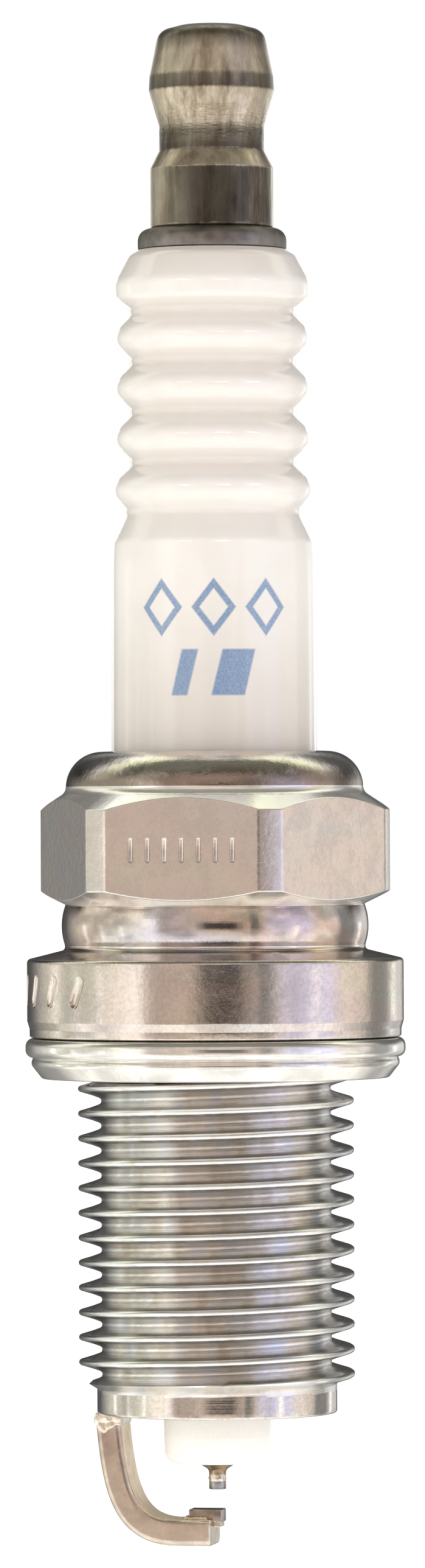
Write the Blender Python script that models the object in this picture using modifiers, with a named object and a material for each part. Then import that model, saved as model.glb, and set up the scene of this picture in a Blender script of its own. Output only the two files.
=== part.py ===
"""Spark plug with an M14 x 1.25 thread, a 19 mm reach and a 16 mm hexagon.

The plug stands upright with its terminal at the top.  The origin is on the plug's axis, in the plane
where the folded gasket meets the cylinder head, so the threaded end lies below zero and the hexagon,
the insulator and the terminal lie above it.  Dimensions are in millimetres and are scaled to metres
where an object is made.
"""

import math

import bmesh
import bpy
from mathutils import Matrix, Vector

MM = 0.001
NAME = "spark_plug"

# Facets of the turned pieces: the same count on nested pieces keeps their facets in line.
SEGMENTS = 24
SMALL_SEGMENTS = 16
FILLET_STEPS = 2
GAP = 0.03
MERGE = 1e-6

# Thread into the cylinder head.
THREAD_PITCH = 1.25
THREAD_MAJOR_R = 6.95
THREAD_ROOT_R = 5.98
THREAD_GROOVE_WIDTH = 0.84
THREAD_ROOT_WIDTH = 0.40
THREAD_FIRST_GROOVE_Z = -15.52
THREAD_TURNS = 13.7
NECK_R = 5.9

# Shell.
SHELL_END_Z = -17.0
PILOT_R = 6.1
PILOT_TOP_Z = -15.6
CHAMBER_R = 4.75
LEDGE_R = 3.9
MIDDLE_BORE_R = 4.7
UPPER_BORE_R = 6.1
HEX_ACROSS_FLATS = 16.0
HEX_CORNER_R = 8.9
HEX_TURN = math.radians(-12.0)
HEX_BOTTOM_Z = 8.75
HEX_TOP_Z = 14.42
WAIST_R = 7.5
WAIST_BULGE_R = 7.75
FLANGE_R = 9.5
FLANGE_BOTTOM_Z = 2.12
FLANGE_TOP_Z = 6.5
CRIMP_TOP_Z = 16.44
CRIMP_LIP_R = 5.27

# Folded gasket ring.
GASKET_TOP_Z = 2.05
GASKET_INNER_R = 7.05

# Ceramic insulator.
INSULATOR_TOP_Z = 41.7
INSULATOR_BODY_R = 5.2
INSULATOR_FLANGE_R = 6.03
INSULATOR_SHOULDER_Z = 11.9
INSULATOR_END_Z = -19.35
NOSE_TIP_R = 2.65
STEM_BORE_R = 2.05
ELECTRODE_BORE_R = 1.36
BORE_SEAT_Z = -1.9
RIB_COUNT = 5
RIB_PITCH = 2.53
FIRST_RIB_Z = 39.75
RIB_CREST_R = 5.28
RIB_CREST_GROWTH = 0.03
RIB_GROOVE_R = 4.0
RIB_GROOVE_DROP = 1.22

# Terminal.
NUT_TOP_Z = 52.9
NUT_BOTTOM_Z = 42.8
NUT_BORE_R = 2.07
NUT_BORE_TOP_Z = 51.5
STUD_TOP_Z = 51.3
STUD_R = 1.95
COLLAR_R = 3.75
COLLAR_TOP_Z = 42.77
STEM_END_Z = 11.6
STEM_END_R = 1.5

# Seals and resistor, stacked in the bore.
FILL_R = 2.0
UPPER_SEAL_TOP_Z = 13.4
UPPER_SEAL_BOTTOM_Z = 9.0
RESISTOR_BOTTOM_Z = 2.4
LOWER_SEAL_BOTTOM_Z = -1.2

# Centre electrode.
ELECTRODE_R = 1.3
ELECTRODE_HEAD_R = 1.55
ELECTRODE_HEAD_TOP_Z = 0.6
ELECTRODE_SHOULDER_Z = -19.2
PIN_R = 0.43
PIN_END_Z = -20.0
TIP_TOP_Z = -20.3
TIP_END_Z = -20.7
CORE_R = 0.75
CORE_END_Z = -16.0

# Ground electrode: a bent bar on the shell's end face, in a plane turned about the plug's axis.
STRAP_TURN = math.radians(-11.0)
STRAP_WIDTH = 2.7
STRAP_THICKNESS = 1.3
STRAP_CORNER = 0.3
STRAP_ROOT_U = -5.36
STRAP_LOW_Z = -22.85
STRAP_BEND_END_U = -1.9
STRAP_END_U = -0.145
WELD_TOP_Z = SHELL_END_Z - GAP
WELD_BOTTOM_Z = -17.35

# Precious metal pad let into the end of the ground electrode.
PAD_START_U = -1.37
PAD_END_U = 0.3
PAD_WIDTH = 1.3
PAD_TOP_Z = -21.7
PAD_BOTTOM_Z = -22.35
PAD_BEAD_R = 0.12


def clear_scene():
    for item in list(bpy.data.objects):
        bpy.data.objects.remove(item, do_unlink=True)


def new_collection(name):
    collection = bpy.data.collections.new(name)
    bpy.context.scene.collection.children.link(collection)
    return collection


def metal(name, color, roughness):
    return surface(name, color, roughness, 1.0)


def surface(name, color, roughness, metallic=0.0):
    """A Principled material with one colour, roughness and metallic value."""
    material = bpy.data.materials.new(name)
    material.use_nodes = True
    shader = material.node_tree.nodes["Principled BSDF"]
    shader.inputs["Base Color"].default_value = (*color, 1.0)
    shader.inputs["Roughness"].default_value = roughness
    shader.inputs["Metallic"].default_value = metallic
    return material


def outline(corners, steps=FILLET_STEPS, closed=True):
    """Points (r, z) of an outline given as (r, z) or (r, z, fillet radius) corners."""
    points = []
    count = len(corners)
    for i, corner in enumerate(corners):
        here = Vector(corner[:2])
        radius = corner[2] if len(corner) > 2 else 0.0
        at_end = not closed and i in (0, count - 1)
        if radius == 0.0 or at_end:
            points.append(tuple(here))
            continue
        back = (Vector(corners[i - 1][:2]) - here).normalized()
        ahead = (Vector(corners[(i + 1) % count][:2]) - here).normalized()
        half = back.angle(ahead) / 2
        middle = here + (back + ahead).normalized() * (radius / math.sin(half))
        first = here + back * (radius / math.tan(half)) - middle
        last = here + ahead * (radius / math.tan(half)) - middle
        sweep = first.angle_signed(last)
        arc_steps = steps + round(radius)
        for k in range(arc_steps + 1):
            turn = Matrix.Rotation(-sweep * k / arc_steps, 2)
            points.append(tuple(middle + turn @ first))
    return points


def add_object(name, data, collection, material=None):
    item = bpy.data.objects.new(name, data)
    collection.objects.link(item)
    if material:
        data.materials.append(material)
    return item


def turned(name, points, collection, material=None, segments=SEGMENTS, closed=True):
    """A solid of revolution about Z from (r, z) points that run down its outer side."""
    mesh = bpy.data.meshes.new(name)
    last = len(points) if closed else len(points) - 1
    edges = [(i, (i + 1) % len(points)) for i in range(last)]
    mesh.from_pydata([(r * MM, 0.0, z * MM) for r, z in points], edges, [])
    item = add_object(name, mesh, collection, material)
    screw = item.modifiers.new("Turn", "SCREW")
    screw.axis = "Z"
    screw.steps = segments
    screw.render_steps = segments
    screw.use_merge_vertices = True
    screw.merge_threshold = MERGE
    screw.use_smooth_shade = True
    return item


def box(name, size, center, collection, material=None):
    """A box from its size and centre, turned with the ground electrode by its parent."""
    mesh = bpy.data.meshes.new(name)
    shape = bmesh.new()
    bmesh.ops.create_cube(shape, size=1.0)
    bmesh.ops.scale(shape, vec=Vector(size) * MM, verts=shape.verts)
    shape.to_mesh(mesh)
    shape.free()
    item = add_object(name, mesh, collection, material)
    item.location = Vector(center) * MM
    return item


def as_cutter(item):
    item.hide_render = True
    item.display_type = "WIRE"
    return item


def cut(item, cutter):
    modifier = item.modifiers.new("Cut " + cutter.name, "BOOLEAN")
    modifier.operation = "DIFFERENCE"
    modifier.solver = "EXACT"
    modifier.object = as_cutter(cutter)


def round_edges(item, width, segments=2):
    bevel = item.modifiers.new("Rounded edges", "BEVEL")
    bevel.width = width * MM
    bevel.segments = segments
    bevel.limit_method = "ANGLE"
    bevel.angle_limit = math.radians(40)


def thread_groove(collection):
    """The helical groove between the thread's crests, as one closed bar wound up the axis."""
    name = "thread_groove"
    outer_r = THREAD_MAJOR_R + 0.06
    widen = (THREAD_GROOVE_WIDTH - THREAD_ROOT_WIDTH) / 2
    outer_half = THREAD_GROOVE_WIDTH / 2 + widen * 0.06 / (THREAD_MAJOR_R - THREAD_ROOT_R)
    root_half = THREAD_ROOT_WIDTH / 2
    section = [
        (THREAD_ROOT_R, -root_half),
        (outer_r, -outer_half),
        (outer_r, outer_half),
        (THREAD_ROOT_R, root_half),
    ]
    shape = bmesh.new()
    corners = [shape.verts.new((r * MM, 0.0, (z + THREAD_FIRST_GROOVE_Z) * MM)) for r, z in section]
    start = shape.faces.new(corners)
    steps = round(THREAD_TURNS * SEGMENTS)
    bmesh.ops.spin(
        shape,
        geom=[start, *start.edges, *start.verts],
        cent=(0.0, 0.0, 0.0),
        axis=(0.0, 0.0, 1.0),
        dvec=(0.0, 0.0, THREAD_PITCH * MM / SEGMENTS),
        angle=steps * math.tau / SEGMENTS,
        steps=steps,
    )
    open_edges = [edge for edge in shape.edges if edge.is_boundary]
    bmesh.ops.holes_fill(shape, edges=open_edges)
    bmesh.ops.recalc_face_normals(shape, faces=shape.faces)
    mesh = bpy.data.meshes.new(name)
    shape.to_mesh(mesh)
    shape.free()
    return add_object(name, mesh, collection)


def hex_flat_cutter(index, collection):
    """A block that leaves one flat of the hexagon."""
    depth = 4.0
    middle_z = (HEX_BOTTOM_Z + HEX_TOP_Z) / 2
    height = HEX_TOP_Z - HEX_BOTTOM_Z - 0.02
    name = f"hex_flat_{index}"
    item = box(name, (depth, 16.0, height), (0, 0, 0), collection)
    turn = -math.pi / 2 + HEX_TURN + index * math.tau / 6
    out = Vector((math.cos(turn), math.sin(turn), 0.0)) * (HEX_ACROSS_FLATS / 2 + depth / 2)
    item.location = (out + Vector((0.0, 0.0, middle_z))) * MM
    item.rotation_euler.z = turn
    return item


def shell(parts, cutters):
    """Steel shell: crimped rim, hexagon, waist, flange, thread and the stepped bore."""
    chamfer = THREAD_MAJOR_R - PILOT_R
    corners = [
        (CRIMP_LIP_R, CRIMP_TOP_Z, 0.2),
        (WAIST_R, CRIMP_TOP_Z, 1.8),
        (WAIST_R, HEX_TOP_Z, 0.3),
        (HEX_CORNER_R, 13.5, 0.25),
        (HEX_CORNER_R, 9.42),
        (WAIST_R + 0.04, HEX_BOTTOM_Z),
        (WAIST_BULGE_R, 7.6, 1.5),
        (WAIST_R, FLANGE_TOP_Z),
        (FLANGE_R, 6.0, 0.35),
        (FLANGE_R, 2.9),
        (FLANGE_R - 0.12, 2.5),
        (FLANGE_R - 0.12, FLANGE_BOTTOM_Z),
        (NECK_R, FLANGE_BOTTOM_Z),
        (NECK_R, 1.0),
        (THREAD_MAJOR_R, 0.5),
        (THREAD_MAJOR_R, PILOT_TOP_Z + 0.7 * chamfer),
        (PILOT_R, PILOT_TOP_Z),
        (PILOT_R, SHELL_END_Z, 0.15),
        (CHAMBER_R, SHELL_END_Z, 0.2),
        (CHAMBER_R, -8.9),
        (LEDGE_R, -8.1),
        (LEDGE_R, -6.95),
        (MIDDLE_BORE_R, -6.45),
        (MIDDLE_BORE_R, 1.55),
        (UPPER_BORE_R, 2.75),
        (UPPER_BORE_R, CRIMP_TOP_Z - 0.85, 0.4),
        (CRIMP_LIP_R, CRIMP_TOP_Z - 0.85),
    ]
    steel = metal("plated_steel", (0.62, 0.56, 0.50), 0.36)
    item = turned("shell", outline(corners), parts, steel)
    for index in range(6):
        cut(item, hex_flat_cutter(index, cutters))
    cut(item, thread_groove(cutters))
    return item


def insulator(parts):
    """Glazed ceramic: ribs over the body, a flange inside the shell and the nose at the firing end."""
    corners = [
        (STEM_BORE_R, INSULATOR_TOP_Z),
        (3.75, INSULATOR_TOP_Z, 0.15),
        (4.2, 41.35),
        (4.93, FIRST_RIB_Z + 0.35, 0.5),
        (4.88, FIRST_RIB_Z - 0.5, 0.4),
    ]
    for rib in range(1, RIB_COUNT):
        crest_z = FIRST_RIB_Z - rib * RIB_PITCH
        groove_z = crest_z + RIB_PITCH - RIB_GROOVE_DROP
        corners.append((RIB_GROOVE_R, groove_z, 0.35))
        corners.append((RIB_CREST_R + rib * RIB_CREST_GROWTH, crest_z, 0.8))
    corners += [
        (4.38, 28.5, 0.35),
        (4.75, 27.7),
        (5.1, 27.0, 0.8),
        (5.15, 26.0),
        (INSULATOR_BODY_R, INSULATOR_SHOULDER_Z),
        (INSULATOR_FLANGE_R, INSULATOR_SHOULDER_Z - 0.75),
        (INSULATOR_FLANGE_R, 2.9),
        (MIDDLE_BORE_R - 0.07, 1.7),
        (MIDDLE_BORE_R - 0.07, -6.0),
        (LEDGE_R - 0.07, -6.5),
        (LEDGE_R - 0.5, -8.2),
        (NOSE_TIP_R + 0.1, -15.5),
        (NOSE_TIP_R, INSULATOR_END_Z, 0.7),
        (ELECTRODE_BORE_R, INSULATOR_END_Z),
        (ELECTRODE_BORE_R, BORE_SEAT_Z - 0.75),
        (STEM_BORE_R, BORE_SEAT_Z),
    ]
    return turned("insulator", outline(corners), parts, surface("glazed_ceramic", (0.90, 0.88, 0.84), 0.08))


def gasket(parts):
    """Folded sheet ring between the flange and the cylinder head: a rounded fold over a flat lip."""
    corners = [
        (GASKET_INNER_R, GASKET_TOP_Z, 0.15),
        (9.45, GASKET_TOP_Z, 0.35),
        (9.6, 1.62, 0.25),
        (9.22, 1.0, 0.1),
        (9.3, 0.62, 0.2),
        (8.74, 0.0, 0.12),
        (GASKET_INNER_R, 0.0, 0.15),
        (GASKET_INNER_R, 0.9),
        (7.5, 1.1),
        (GASKET_INNER_R, 1.3),
    ]
    return turned("gasket", outline(corners, 2), parts, metal("gasket_steel", (0.72, 0.70, 0.67), 0.28))


def terminal_nut(parts):
    """Removable terminal nut: a rounded head with a waist for the cap's clip, bored for the stud."""
    corners = [
        (0.0, NUT_TOP_Z),
        (2.55, NUT_TOP_Z, 0.35),
        (3.22, 49.9, 0.9),
        (2.64, 47.9, 0.5),
        (2.64, 46.55, 0.2),
        (3.14, 45.8, 0.2),
        (3.14, NUT_BOTTOM_Z, 0.12),
        (NUT_BORE_R + 0.25, NUT_BOTTOM_Z),
        (NUT_BORE_R, NUT_BOTTOM_Z + 0.25),
        (NUT_BORE_R, NUT_BORE_TOP_Z),
        (0.0, NUT_BORE_TOP_Z + 0.5),
    ]
    points = outline(corners, closed=False)
    return turned("terminal_nut", points, parts, metal("terminal_nickel", (0.42, 0.37, 0.32), 0.4), closed=False)


def terminal_stud(parts):
    """Stud for the nut, a collar on the insulator's top and a long stem with a grooved end."""
    groove_r = STEM_END_R - 0.2
    groove_pitch = 0.6
    edge = 0.15
    corners = [
        (0.0, STUD_TOP_Z),
        (STUD_R - 0.35, STUD_TOP_Z),
        (STUD_R, STUD_TOP_Z - 0.35),
        (STUD_R, COLLAR_TOP_Z),
        (COLLAR_R, COLLAR_TOP_Z, 0.6),
        (COLLAR_R, INSULATOR_TOP_Z + GAP, 0.12),
        (STUD_R, INSULATOR_TOP_Z + GAP),
        (STUD_R, 15.0),
        (STEM_END_R, 14.6),
    ]
    for groove in range(4):
        top = 14.2 - groove * groove_pitch
        corners += [(STEM_END_R, top), (groove_r, top - edge)]
        corners += [(groove_r, top - 2 * edge), (STEM_END_R, top - 3 * edge)]
    corners += [(groove_r, STEM_END_Z), (0.0, STEM_END_Z)]
    points = outline(corners, closed=False)
    steel = metal("terminal_steel", (0.30, 0.29, 0.28), 0.5)
    return turned("terminal_stud", points, parts, steel, closed=False)


def in_bore(name, corners, parts, material):
    """A round piece on the axis, from corners that run from its top to its bottom."""
    points = outline(corners, closed=False)
    return turned(name, points, parts, material, SMALL_SEGMENTS, closed=False)


def bore_filling(parts):
    """Conductive glass, the suppressor resistor and glass again, between the stem and the electrode."""
    glass = surface("conductive_glass", (0.16, 0.12, 0.10), 0.35, 0.3)
    carbon = surface("resistor_carbon", (0.05, 0.05, 0.055), 0.7)
    stem_recess_r = STEM_END_R + 2 * GAP
    head_recess_r = ELECTRODE_HEAD_R + 2 * GAP
    resistor_top_z = UPPER_SEAL_BOTTOM_Z - GAP
    lower_seal_top_z = RESISTOR_BOTTOM_Z - GAP
    upper_seal = [
        (0.0, STEM_END_Z - GAP),
        (stem_recess_r, STEM_END_Z - GAP),
        (stem_recess_r, UPPER_SEAL_TOP_Z),
        (FILL_R, UPPER_SEAL_TOP_Z),
        (FILL_R, UPPER_SEAL_BOTTOM_Z),
        (0.0, UPPER_SEAL_BOTTOM_Z),
    ]
    resistor = [
        (0.0, resistor_top_z),
        (FILL_R, resistor_top_z),
        (FILL_R, RESISTOR_BOTTOM_Z),
        (0.0, RESISTOR_BOTTOM_Z),
    ]
    lower_seal = [
        (0.0, lower_seal_top_z),
        (FILL_R, lower_seal_top_z),
        (FILL_R, LOWER_SEAL_BOTTOM_Z),
        (head_recess_r, LOWER_SEAL_BOTTOM_Z),
        (head_recess_r, ELECTRODE_HEAD_TOP_Z + GAP),
        (0.0, ELECTRODE_HEAD_TOP_Z + GAP),
    ]
    in_bore("upper_glass_seal", upper_seal, parts, glass)
    in_bore("resistor", resistor, parts, carbon)
    in_bore("lower_glass_seal", lower_seal, parts, glass)


def centre_electrode(parts):
    """Nickel electrode seated in the bore, its copper core, and the welded precious metal tip."""
    nickel = metal("nickel_alloy", (0.50, 0.46, 0.40), 0.35)
    copper = metal("copper", (0.72, 0.36, 0.22), 0.3)
    iridium = metal("iridium", (0.20, 0.19, 0.20), 0.3)
    core_top_z = ELECTRODE_HEAD_TOP_Z
    collar_r = STEM_BORE_R - 0.1
    sheath = [
        (0.0, CORE_END_Z),
        (CORE_R + GAP, CORE_END_Z + 0.6),
        (CORE_R + GAP, core_top_z),
        (ELECTRODE_HEAD_R, core_top_z),
        (ELECTRODE_HEAD_R, LOWER_SEAL_BOTTOM_Z - 0.25),
        (collar_r, LOWER_SEAL_BOTTOM_Z - 0.4),
        (collar_r, BORE_SEAT_Z + 0.02),
        (ELECTRODE_R, BORE_SEAT_Z - 0.65),
        (ELECTRODE_R, ELECTRODE_SHOULDER_Z),
        (PIN_R, ELECTRODE_SHOULDER_Z - 0.55),
        (PIN_R, PIN_END_Z),
        (0.0, PIN_END_Z),
    ]
    core = [
        (0.0, core_top_z - GAP),
        (CORE_R, core_top_z - GAP),
        (CORE_R, CORE_END_Z + 0.65),
        (0.0, CORE_END_Z + 0.05),
    ]
    weld = [
        (0.0, PIN_END_Z - GAP),
        (PIN_R, PIN_END_Z - GAP),
        (PIN_R + 0.04, (PIN_END_Z + TIP_TOP_Z) / 2),
        (PIN_R, TIP_TOP_Z + GAP),
        (0.0, TIP_TOP_Z + GAP),
    ]
    tip = [(0.0, TIP_TOP_Z), (PIN_R, TIP_TOP_Z), (PIN_R, TIP_END_Z), (0.0, TIP_END_Z)]
    in_bore("centre_electrode", sheath, parts, nickel)
    in_bore("electrode_core", core, parts, copper)
    in_bore("electrode_tip_weld", weld, parts, nickel)
    in_bore("electrode_tip", tip, parts, iridium)


def packing_ring(name, z, parts, material):
    """A wire ring between the insulator and the shell."""
    wire_r = 0.36
    middle_r = (INSULATOR_BODY_R + UPPER_BORE_R) / 2
    sides = 6
    points = []
    for k in range(sides):
        turn = math.tau / 4 - math.tau * k / sides
        points.append((middle_r + wire_r * math.cos(turn), z + wire_r * math.sin(turn)))
    return turned(name, points, parts, material)


def packing(parts):
    """Two wire rings with talc between them under the crimp, and the washer on the shell's ledge."""
    wire = metal("packing_wire", (0.55, 0.55, 0.55), 0.4)
    talc = surface("talc", (0.80, 0.77, 0.70), 0.9)
    lower_z = INSULATOR_SHOULDER_Z + 0.4
    upper_z = CRIMP_TOP_Z - 0.85 - 0.45
    packing_ring("lower_packing_ring", lower_z, parts, wire)
    packing_ring("upper_packing_ring", upper_z, parts, wire)
    inner_r = INSULATOR_BODY_R + 2 * GAP
    outer_r = UPPER_BORE_R - 2 * GAP
    powder = [
        (inner_r, upper_z - 0.4),
        (outer_r, upper_z - 0.4),
        (outer_r, lower_z + 0.4),
        (inner_r, lower_z + 0.4),
    ]
    turned("talc_packing", powder, parts, talc)
    washer = [
        (LEDGE_R + 0.05, -6.43),
        (MIDDLE_BORE_R - 0.08, -6.1),
        (MIDDLE_BORE_R - 0.08, -6.38),
        (LEDGE_R + 0.05, -6.85),
    ]
    turned("seat_packing", washer, parts, metal("packing_copper", (0.60, 0.36, 0.24), 0.4))


def strap_frame(parts):
    """The plane of the ground electrode: its X runs from the weld across the plug's axis."""
    frame = add_object("strap_frame", None, parts)
    frame.rotation_euler.z = STRAP_TURN
    return frame


def strap_section(cutters):
    """The bar's section, a rectangle with rounded corners, swept along its centre line."""
    half_w = STRAP_WIDTH / 2
    half_t = STRAP_THICKNESS / 2
    corners = [
        (half_t, half_w, STRAP_CORNER),
        (half_t, -half_w, STRAP_CORNER),
        (-half_t, -half_w, STRAP_CORNER),
        (-half_t, half_w, STRAP_CORNER),
    ]
    points = outline(corners, 2)
    data = bpy.data.curves.new("strap_section", "CURVE")
    data.dimensions = "2D"
    spline = data.splines.new("POLY")
    spline.points.add(len(points) - 1)
    spline.use_cyclic_u = True
    for point, (x, y) in zip(spline.points, points):
        point.co = (x * MM, y * MM, 0.0, 1.0)
    return as_cutter(add_object("strap_section", data, cutters))


def strap_path():
    """Centre line of the bar: a leg that leans in, one long bend and a level end."""
    data = bpy.data.curves.new("strap_path", "CURVE")
    data.dimensions = "2D"
    data.resolution_u = 12
    spline = data.splines.new("BEZIER")
    root = Vector((STRAP_ROOT_U, WELD_BOTTOM_Z - GAP))
    bend_end = Vector((STRAP_BEND_END_U, STRAP_LOW_Z))
    tip = Vector((STRAP_END_U, STRAP_LOW_Z))
    lean = Vector((0.085, -0.996)) * 3.6
    level = Vector((2.6, 0.0))
    short = (tip - bend_end) / 3
    knots = [(root - lean, root, root + lean), (bend_end - level, bend_end, bend_end + short)]
    knots.append((tip - short, tip, tip + short))
    spline.bezier_points.add(len(knots) - 1)
    for point, (left, here, right) in zip(spline.bezier_points, knots):
        point.handle_left_type = "FREE"
        point.handle_right_type = "FREE"
        point.handle_left = (left.x * MM, left.y * MM, 0.0)
        point.co = (here.x * MM, here.y * MM, 0.0)
        point.handle_right = (right.x * MM, right.y * MM, 0.0)
    return data


def ground_strap(parts, cutters, frame):
    """The bent nickel bar, with a shallow seat for the pad cut in its end."""
    data = strap_path()
    data.bevel_mode = "OBJECT"
    data.bevel_object = strap_section(cutters)
    data.use_fill_caps = True
    curve = add_object("strap_curve", data, cutters)
    curve.rotation_euler = (math.pi / 2, 0.0, STRAP_TURN)
    bpy.context.view_layer.update()
    swept = curve.evaluated_get(bpy.context.evaluated_depsgraph_get())
    mesh = bpy.data.meshes.new_from_object(swept)
    mesh.name = "ground_strap"
    shape = bmesh.new()
    shape.from_mesh(mesh)
    bmesh.ops.remove_doubles(shape, verts=shape.verts, dist=MERGE)
    bmesh.ops.recalc_face_normals(shape, faces=shape.faces)
    shape.to_mesh(mesh)
    shape.free()
    item = add_object("ground_strap", mesh, parts, metal("strap_nickel", (0.55, 0.48, 0.40), 0.4))
    item.matrix_world = curve.matrix_world
    bpy.data.objects.remove(curve, do_unlink=True)
    length = PAD_END_U - PAD_START_U + 2 * GAP
    height = PAD_TOP_Z - PAD_BOTTOM_Z + GAP
    middle = ((PAD_START_U + PAD_END_U) / 2, 0.0, (PAD_TOP_Z + PAD_BOTTOM_Z - GAP) / 2)
    seat = box("pad_seat", (length, PAD_WIDTH + 2 * GAP, height), middle, cutters)
    seat.parent = frame
    cut(item, seat)
    mesh.shade_smooth()
    mesh.set_sharp_from_angle(angle=math.radians(40))
    return item


def strap_root_weld(parts, frame):
    """Upset metal between the shell's end face and the bar."""
    size = (STRAP_THICKNESS + 0.2, STRAP_WIDTH + 0.2, WELD_TOP_Z - WELD_BOTTOM_Z)
    center = (STRAP_ROOT_U, 0.0, (WELD_TOP_Z + WELD_BOTTOM_Z) / 2)
    item = box("ground_strap_weld", size, center, parts, metal("weld_steel", (0.80, 0.76, 0.70), 0.3))
    item.parent = frame
    round_edges(item, 0.12)
    return item


def ground_pad(parts, frame):
    """The pad that faces the electrode's tip across the spark gap."""
    size = (PAD_END_U - PAD_START_U, PAD_WIDTH, PAD_TOP_Z - PAD_BOTTOM_Z)
    center = ((PAD_START_U + PAD_END_U) / 2, 0.0, (PAD_TOP_Z + PAD_BOTTOM_Z) / 2)
    item = box("ground_pad", size, center, parts, metal("platinum", (0.42, 0.38, 0.34), 0.3))
    item.parent = frame
    round_edges(item, 0.05, 1)
    return item


def pad_weld(parts, frame):
    """A bead round the pad's three sides on the bar's upper face."""
    reach = PAD_BEAD_R + GAP
    side = PAD_WIDTH / 2 + reach
    start = PAD_START_U - reach
    corners = [
        (STRAP_END_U - reach, side),
        (start, side, 0.25),
        (start, -side, 0.25),
        (STRAP_END_U - reach, -side),
    ]
    points = outline(corners, 4, closed=False)
    height = STRAP_LOW_Z + STRAP_THICKNESS / 2 + reach
    data = bpy.data.curves.new("ground_pad_weld", "CURVE")
    data.dimensions = "3D"
    data.bevel_depth = PAD_BEAD_R * MM
    data.bevel_resolution = 2
    data.use_fill_caps = True
    spline = data.splines.new("POLY")
    spline.points.add(len(points) - 1)
    for point, (x, y) in zip(spline.points, points):
        point.co = (x * MM, y * MM, height * MM, 1.0)
    item = add_object("ground_pad_weld", data, parts, metal("weld_nickel", (0.66, 0.62, 0.56), 0.3))
    item.parent = frame
    return item


def build():
    clear_scene()
    parts = new_collection(NAME)
    cutters = new_collection(NAME + "_cutters")
    terminal_nut(parts)
    terminal_stud(parts)
    insulator(parts)
    shell(parts, cutters)
    gasket(parts)
    bore_filling(parts)
    centre_electrode(parts)
    packing(parts)
    frame = strap_frame(parts)
    ground_strap(parts, cutters, frame)
    strap_root_weld(parts, frame)
    ground_pad(parts, frame)
    pad_weld(parts, frame)


build()
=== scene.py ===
"""Looks of the spark plug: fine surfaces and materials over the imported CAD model.

Lengths are in millimetres and are scaled to metres where a mesh is made.  The plug stands on its own axis,
and z is measured from the plane where the gasket meets the cylinder head.  Angles run counterclockwise
from +X seen from above, so the front of the plug is at -90 degrees.
"""

import math
import random
from types import SimpleNamespace

import bmesh
import bpy
from mathutils import Matrix, Vector


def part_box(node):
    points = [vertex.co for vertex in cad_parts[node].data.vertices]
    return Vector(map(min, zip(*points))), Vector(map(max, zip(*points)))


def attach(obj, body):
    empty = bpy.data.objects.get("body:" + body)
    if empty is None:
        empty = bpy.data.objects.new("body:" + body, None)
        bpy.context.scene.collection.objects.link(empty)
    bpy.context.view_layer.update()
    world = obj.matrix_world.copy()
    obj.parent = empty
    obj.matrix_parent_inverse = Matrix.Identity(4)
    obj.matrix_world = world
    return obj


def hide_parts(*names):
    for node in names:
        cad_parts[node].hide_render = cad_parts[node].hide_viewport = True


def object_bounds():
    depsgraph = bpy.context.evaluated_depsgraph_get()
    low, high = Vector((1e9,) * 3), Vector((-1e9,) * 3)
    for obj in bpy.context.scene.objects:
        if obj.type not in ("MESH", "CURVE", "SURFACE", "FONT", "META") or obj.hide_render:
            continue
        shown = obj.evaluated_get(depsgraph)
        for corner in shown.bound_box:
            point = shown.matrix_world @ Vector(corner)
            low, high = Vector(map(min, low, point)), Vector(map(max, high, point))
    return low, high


MM = 0.001
FRONT = -math.pi / 2
SEED = 14

# Fineness of the meshes.
COLUMNS = 128
SMALL_COLUMNS = 64
ARC_DENSITY = 12.0
THREAD_DENSITY = 6.0
MERGE = 0.001
SAME_PLACE = 0.00001
HOLD = 0.12
SHARP_ANGLE = math.radians(38)
BELOW_ALL_Z = -1000.0

# Shell, above the seat plane.
HEX_TOP_Z = 14.42
HEX_BOTTOM_Z = 8.75
HEX_FLAT_R = 8.0
HEX_CORNER_R = 8.9
HEX_CORNER_TOP_Z = 13.5
HEX_CORNER_BOTTOM_Z = 9.42
HEX_TURN = math.radians(-12.0)
HEX_SOFTNESS = 0.05
WAIST_R = 7.5
WAIST_BULGE_R = 7.98
FLANGE_TOP_Z = 6.5
CRIMP_LIP_R = 5.27
NECK_R = 5.9
PILOT_R = 6.05
PILOT_END_Z = -16.85
CHAMBER_R = 4.75
LEDGE_R = 3.9
MIDDLE_BORE_R = 4.7
UPPER_BORE_R = 6.1

# Thread of the shell, and the level planes where it joins the plain surfaces, 14 pitches apart.
THREAD_PITCH = 1.25
THREAD_CREST_R = 6.96
THREAD_ROOT_R = 5.78
THREAD_GROOVE_Z = -15.52
THREAD_END_Z = -15.0
THREAD_FADE = 0.3
THREAD_TOP_PLANE_Z = 1.5
THREAD_BOTTOM_PLANE_Z = -16.0

# Insulator.
RIB_COUNT = 5
RIB_PITCH = 2.53
FIRST_RIB_Z = 39.75
RIB_CREST_R = 5.34
RIB_CREST_GROWTH = 0.03
RIB_GROOVE_R = 4.0
RIB_GROOVE_DROP = 1.22
BODY_R = 5.2
SHOULDER_Z = 11.9
GLAZE_END_Z = 13.0
STEM_BORE_R = 2.05
ELECTRODE_BORE_R = 1.36

# Terminal nut and stud, with an M4 x 0.7 thread whose two sides never touch.
STUD_PITCH = 0.7
STUD_R = 1.95
STUD_ROOT_R = 1.58
NUT_BORE_R = 2.07
NUT_ROOT_R = 2.36
NUT_NECK_R = 2.64
NUT_SKIRT_R = 3.1
NUT_SKIRT_TOP_Z = 45.8
NUT_NECK_BOTTOM_Z = 46.7
NUT_NECK_TOP_Z = 47.95
STUD_THREAD_Z = 43.2
STUD_THREAD_TURNS = 11
COLLAR_TOP_Z = 42.77

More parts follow.
